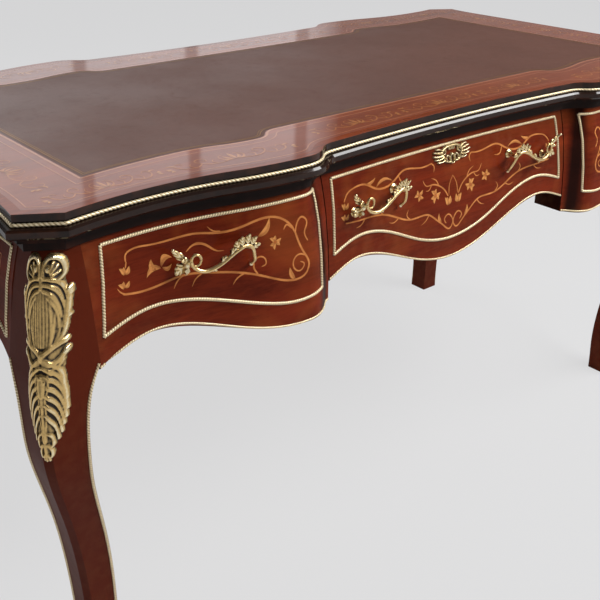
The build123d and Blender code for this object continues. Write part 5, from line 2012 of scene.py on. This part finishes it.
# ---- pulls
@dataclass
class Pull:
    """Rococo pull: a long S-shaped stem on two posts, with leaves and round buds.

    Its places are along, up and out from its middle, for the pull of the left drawer.
    """

    bench: Bench
    swell: float = 3.4
    half: int = 7
    reeds: int = 5
    bar_step: float = 0.9
    post_step: float = 1.2

    OUT = Vector((0, -1, 0))
    BAR = ((-38, 3, 25), (-32, 3, 25), (-28, 9, 25), (-30, 16, 25), (-36, 18, 24), (-41, 13, 24),
           (-41, 7, 24), (-38, 1, 23), (-31, -5, 24), (-21, -8, 25), (-9, -6, 26), (7, 1, 26), (20, 9, 26),
           (30, 14, 26), (39, 16, 25), (47, 13, 24), (52, 5, 22), (55, -5, 19), (57, -13, 15), (55, -19, 10))
    ROOT = ((-47, -8, 4), (-47, -2, 12), (-45, 5, 19), (-41, 10, 23))
    POSTS = ((-46.0, -9.0, 20.0), (46.0, 9.0, 24.0))
    LEAVES = ((-43, 6, 15, -22, 21, 34, 11, 5, 3), (-44, 3, 13, -15, -9, 21, 19, 3, 3),
              (-42, 10, 18, -12, 2, 13, 11, 4, 2), (-40, -3, 10, -4, -8, 12, 12, 2, 2),
              (1, 1, 25, 9, 8, 11, 7, 2, 2), (15, 9, 25, 10, 9, 13, 9, 2, 2),
              (27, 14, 24, -4, 12, 13, 10, 3, 2), (33, 16, 24, -1, 15, 16, 11, 4, 3),
              (40, 17, 24, 3, 15, 17, 11, 4, 3), (46, 15, 23, 8, 12, 15, 11, 4, 3),
              (50, 10, 22, 11, 5, 12, 10, 3, 2), (-14, -7, 24, 10, -4, 10, 6, 1, 2))
    BUDS = ((-45, 4, 19, 4.4), (-66, 30, 22, 2.2), (55, -20, 9, 3.4))

    def leaf(self, work: Work, base: Vector, along: Vector, length: float, width: float, curl: float,
             lobes: int) -> None:
        """Adds a fat acanthus leaf with rounded lobes.

        Args:
            work: The piece that it joins.
            base: Where it springs from.
            along: The way it grows.
            length: Its length.
            width: Its greatest width.
            curl: How far its tip rises.
            lobes: Lobes on each side.
        """
        along, aside = along.normalized(), along.cross(self.OUT).normalized()
        out = aside.cross(along).normalized()
        rows, lows = [], []
        count = 8 * lobes
        for r in range(count + 1):
            t = r / count
            full = math.sin(math.pi * min(1.0, 0.14 + 0.86 * t ** 0.7)) ** 0.6
            row, low = [], []
            for c in range(-self.half, self.half + 1):
                u = c / self.half
                lobe = abs(math.sin(math.pi * lobes * max(0.0, t * 1.15 - 0.3 * abs(u)))) ** 0.6
                reach = width / 2 * full * (0.7 + 0.3 * lobe)
                rib = math.exp(-(u / 0.2) ** 2)
                domed = 0.6 * (1 - u * u) ** 0.5 + 0.4 * lobe * abs(u) ** 0.5
                rise = self.swell * domed * (1 - 0.4 * t) + 0.6 * rib
                rise += curl * t ** 2.0 - 1.4 * u ** 4
                ahead = length * (t + 0.12 * abs(u) * (1 - t))
                row.append(base + along * ahead + aside * (u * reach) + out * rise)
                low.append(min(1.0, max(0.0, 0.02 + 0.95 * lobe + 0.5 * rib)))
            rows.append(row)
            lows.append(low)
        work.grid(rows, lambda r, c: lows[r][c])

    def bud(self, work: Work, centre: Vector, radius: float) -> None:
        """Adds a small round bead of metal.

        Args:
            work: The piece that it joins.
            centre: Its middle.
            radius: Its radius.
        """
        rows = []
        for r in range(6):
            ring = math.pi * (0.02 + 0.96 * r / 5)
            spokes = [Vector((math.sin(ring) * math.cos(a), math.sin(ring) * math.sin(a), math.cos(ring)))
                      for a in np.linspace(0, 2 * math.pi, 11)[:-1]]
            rows.append([centre + spoke * radius for spoke in spokes])
        work.grid(rows, lambda r, c: 1.0, round_columns=True)

    def stem(self, work: Work, path: Sequence[Vector], start: float, middle: float, end: float) -> None:
        """Adds a reeded stem.

        Args:
            work: The piece that it joins.
            path: Its middle line.
            start: Its radius at the start.
            middle: Its radius in the middle.
            end: Its radius at the end.
        """
        def reed(share: float, angle: float) -> float:
            """0 between the reeds and 1 on them."""
            return abs(math.cos(self.reeds * angle / 2 + 3 * share))

        def radius(share: float, angle: float) -> float:
            """Thickness of the stem."""
            body = start + (middle - start) * min(1, share * 2.5) if share < 0.4 else (
                middle + (end - middle) * max(0, share - 0.6) / 0.4)
            return body * (0.88 + 0.12 * reed(share, angle))

        upright = abs((path[-1] - path[0]).normalized().z) >= 0.9
        work.tube(path, radius, 10, up=Vector((1, 0, 0)) if upright else Vector((0, 0, 1)),
                  relief=lambda s, a: 0.35 + 0.65 * reed(s, a))

    def shape(self) -> Work:
        """Makes the mesh of the left drawer's pull.

        Returns:
            The mesh, about the pull's middle.
        """
        def at(u: float, v: float, w: float) -> Vector:
            """The point at a place along, up and out."""
            return Vector((u, -w, v))

        def lobe(angle: float) -> float:
            """Eight lobes round a rose."""
            return abs(math.cos(4 * angle))

        pull = Work()
        self.stem(pull, spline([at(*p) for p in self.BAR], self.bar_step), 1.6, 3.0, 2.6)
        self.stem(pull, spline([at(*p) for p in self.ROOT], self.bar_step), 4.6, 4.4, 2.2)
        for u, v, length in self.POSTS:
            post = spline([at(u, v, 0), at(u, v, length * 0.5), at(u, v + 4, length)], self.post_step)
            self.stem(pull, post, 6.0, 3.6, 3.2)
            pull.tube([at(u, v, w) for w in (0.2, 1.2, 2.6)],
                      lambda s, a: 8.6 * (1 - 0.35 * s) * (0.9 + 0.1 * lobe(a)), 24,
                      relief=lambda s, a: 0.4 + 0.6 * lobe(a))
        for u, v, w, du, dv, *sizes in self.LEAVES:
            self.leaf(pull, at(u, v, w), Vector((du, 0, dv)), *sizes)
        for u, v, w, radius in self.BUDS:
            self.bud(pull, at(u, v, w), radius)
        return pull

    def build(self, name: str, body: str, places: Sequence[tuple[float, int, str]],
              canvases: dict[str, Canvas], node: str) -> None:
        """Makes the pulls of one node.

        Args:
            name: The piece's name.
            body: The body that it rides on.
            places: For each pull its middle along, its hand, and the name of its face.
            canvases: The faces by name.
            node: The node that they replace.
        """
        one, pulls = self.shape(), Work()
        for along, hand, face in places:
            point, out = canvases[face].facing(along, Layout.PULL_Z)
            turned = one.mirrored(hand)
            turn = Matrix.Rotation(math.atan2(out.y, out.x) + math.pi / 2, 3, "Z")
            turned.points = [turn @ p + point for p in turned.points]
            pulls.join(turned)
        pulls.piece(name, self.bench.gilt, body, "gilt_bronze", [node])


# ---- camera, lights and floor
@dataclass(frozen=True)
class Studio:
    """Pale floor, soft lights and the camera."""

    eye: tuple[float, float, float] = (-1.15411, -1.27689, 1.16447)
    yaw: float = 50.86
    pitch: float = 23.111
    roll: float = -0.326
    lens: float = 54.294
    shift: Point2 = (0.0468, -0.1030)
    pale: Colour = (0.716, 0.716, 0.72)
    room: Colour = (0.05, 0.045, 0.04)
    window: Colour = (0.95, 0.95, 0.97)
    glazing: float = 7.0
    fill: Colour = (0.22, 0.22, 0.23)
    window_from: Point2 = (46.5, 49.0)
    window_to: Point2 = (100.0, 80.0)
    window_top: Point2 = (0.75, 0.6)
    bar: Point2 = (0.25, 0.55)
    horizon: Point2 = (-0.02, 0.25)
    floor_reach: float = 30.0
    floor_tone: Colour = (0.64, 0.64, 0.645)
    floor_seen: Colour = (0.09, 0.09, 0.09)

    LAMPS = (("key", (1.5, -1.7, 2.6), (0.1, 0.0, 0.6), (2.6, 0.8), 125.0),
             ("fill", (-2.6, -2.0, 2.2), (-0.4, 0.0, 0.6), (1.6, 1.6), 4.0),
             ("rim", (-0.6, 3.2, 2.6), (0.0, 0.0, 0.7), (2.0, 2.0), 34.0))

    def build(self) -> None:
        """Makes the camera, the lights, the world and the floor."""
        self._camera()
        self._world()
        self._lamps()
        self._floor()
        bpy.context.scene.view_settings.view_transform = "Standard"

    def _camera(self) -> None:
        """Places the camera."""
        yaw, pitch, roll = (math.radians(a) for a in (self.yaw, self.pitch, self.roll))
        forward = Vector((math.cos(yaw) * math.cos(pitch), math.sin(yaw) * math.cos(pitch), -math.sin(pitch)))
        right = Vector((math.sin(yaw), -math.cos(yaw), 0.0))
        down = forward.cross(right)
        turned_right = right * math.cos(roll) + down * math.sin(roll)
        turned_down = down * math.cos(roll) - right * math.sin(roll)
        data = bpy.data.cameras.new("camera")
        data.sensor_width, data.lens = 36.0, self.lens
        data.shift_x, data.shift_y = self.shift
        camera = bpy.data.objects.new("camera", data)
        camera.matrix_world = Matrix((
            (turned_right.x, -turned_down.x, -forward.x, self.eye[0]),
            (turned_right.y, -turned_down.y, -forward.y, self.eye[1]),
            (turned_right.z, -turned_down.z, -forward.z, self.eye[2]), (0, 0, 0, 1)))
        bpy.context.scene.collection.objects.link(camera)
        bpy.context.scene.camera = camera

    def _world(self) -> None:
        """Plain surroundings: an even fill, a dim room above the horizon, and a tall bright window in it."""
        world = bpy.data.worlds.new("studio")
        world.use_nodes = True
        kit = NodeKit(world.node_tree)
        seen = kit.seen()
        way = kit.add("SeparateXYZ", Vector=kit.add("TexCoord").outputs["Generated"]).outputs
        bearing = kit.math("DEGREES", kit.math("ARCTAN2", way["Y"], way["X"]))
        sides = [kit.spread(bearing, *edge) for edge in (self.window_from, self.window_to)]
        window = kit.math("MULTIPLY", *sides)
        bars = kit.math("PINGPONG", bearing, self.glazing / 2)
        window = kit.math("MULTIPLY", window, kit.spread(bars, *self.bar, 0.35, 1.0))
        room = kit.mix(kit.spread(way["Z"], *self.horizon), self.pale, self.room)
        window = kit.math("MULTIPLY", window, kit.spread(way["Z"], *self.window_top))
        shown = kit.mix(window, room, self.window)
        kit.feed(world.node_tree.nodes["Background"], Color=kit.mix(seen, self.fill, shown), Strength=1.0)
        bpy.context.scene.world = world

    def _lamps(self) -> None:
        """A soft key light from the right front, a weak one from the left, and a rim light from behind."""
        for name, place, aim, size, power in self.LAMPS:
            data = bpy.data.lights.new(name, "AREA")
            data.shape, data.energy = "RECTANGLE", power
            data.size, data.size_y = size
            lamp = bpy.data.objects.new(name, data)
            lamp.location = place
            lamp.rotation_mode = "QUATERNION"
            lamp.rotation_quaternion = (Vector(aim) - Vector(place)).to_track_quat("-Z", "Y")
            bpy.context.scene.collection.objects.link(lamp)

    def _floor(self) -> None:
        """Wide pale floor, seen at its own even tone with the table's soft shadow on it."""
        mesh = bpy.data.meshes.new("floor")
        reach = self.floor_reach
        mesh.from_pydata([(-reach, -reach, 0), (reach, -reach, 0), (reach, reach, 0), (-reach, reach, 0)], [],
                         [(0, 1, 2, 3)])
        made, kit, shader = new_material("pale_floor")
        seen = kit.seen()
        speckle = kit.add("TexNoise", Scale=40.0, Detail=4.0).outputs[0]
        lit = kit.mix(kit.spread(speckle, 0.3, 0.7), (0.70, 0.70, 0.705), (0.72, 0.72, 0.725))
        kit.feed(shader, Base_Color=kit.mix(seen, lit, self.floor_seen), Emission_Strength=seen,
                 Emission_Color=self.floor_tone, Roughness=0.9, Specular_IOR_Level=0.0)
        mesh.materials.append(made)
        floor = bpy.data.objects.new("floor", mesh)
        bpy.context.scene.collection.objects.link(floor)


def main() -> None:
    """Loads the frame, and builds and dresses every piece."""
    logging.basicConfig(level=logging.INFO, format="%(message)s")
    for old in list(bpy.data.objects):
        bpy.data.objects.remove(old)
    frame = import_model()
    plan, bench, nodes = TopPlan(), Bench(), frame["nodes"]
    Carcass(bench).dress(nodes)
    Mouldings(plan, bench).build()
    KneeMount(bench).build(nodes)
    canvases = {part: Canvas(Side.FRONT, nodes[f"drawer_{part}_front"]) for part in Layout.PARTS}
    for part in Layout.PARTS:
        canvases[f"back_{part}"] = Canvas(Side.BACK, nodes[f"back_panel_{part}"])
    for hand, side in (("left", Side.LEFT), ("right", Side.RIGHT)):
        canvases[f"side_{hand}"] = Canvas(side, nodes[f"side_apron_{hand}"])
    BeadTrims(bench).build(canvases)
    marquetry = Marquetry(bench, plan, LeatherPlan())
    marquetry.fronts(canvases)
    for hand in ("left", "right"):
        marquetry.side(f"marquetry_side_{hand}", canvases[f"side_{hand}"])
    marquetry.border()
    marquetry.tooling()
    KeyholePlate(bench).build(canvases["centre"])
    end, middle = Layout.END_PULL, Layout.MIDDLE_PULL
    for name, body, node, places in (
            ("pull_left", "drawer_left", "drawer_left_pull", [(-end, 1, "left")]),
            ("pulls_centre", "drawer_centre", "drawer_centre_pull",
             [(-middle, 1, "centre"), (middle, -1, "centre")]),
            ("pull_right", "drawer_right", "drawer_right_pull", [(end, -1, "right")]),
            ("pulls_back", "carcass", "back_pulls",
             [(-end, -1, "back_left"), (-middle, -1, "back_centre"), (middle, 1, "back_centre"),
              (end, 1, "back_right")])):
        Pull(bench).build(name, body, places, canvases, node)
    Studio().build()


if __name__ == "__main__":
    main()
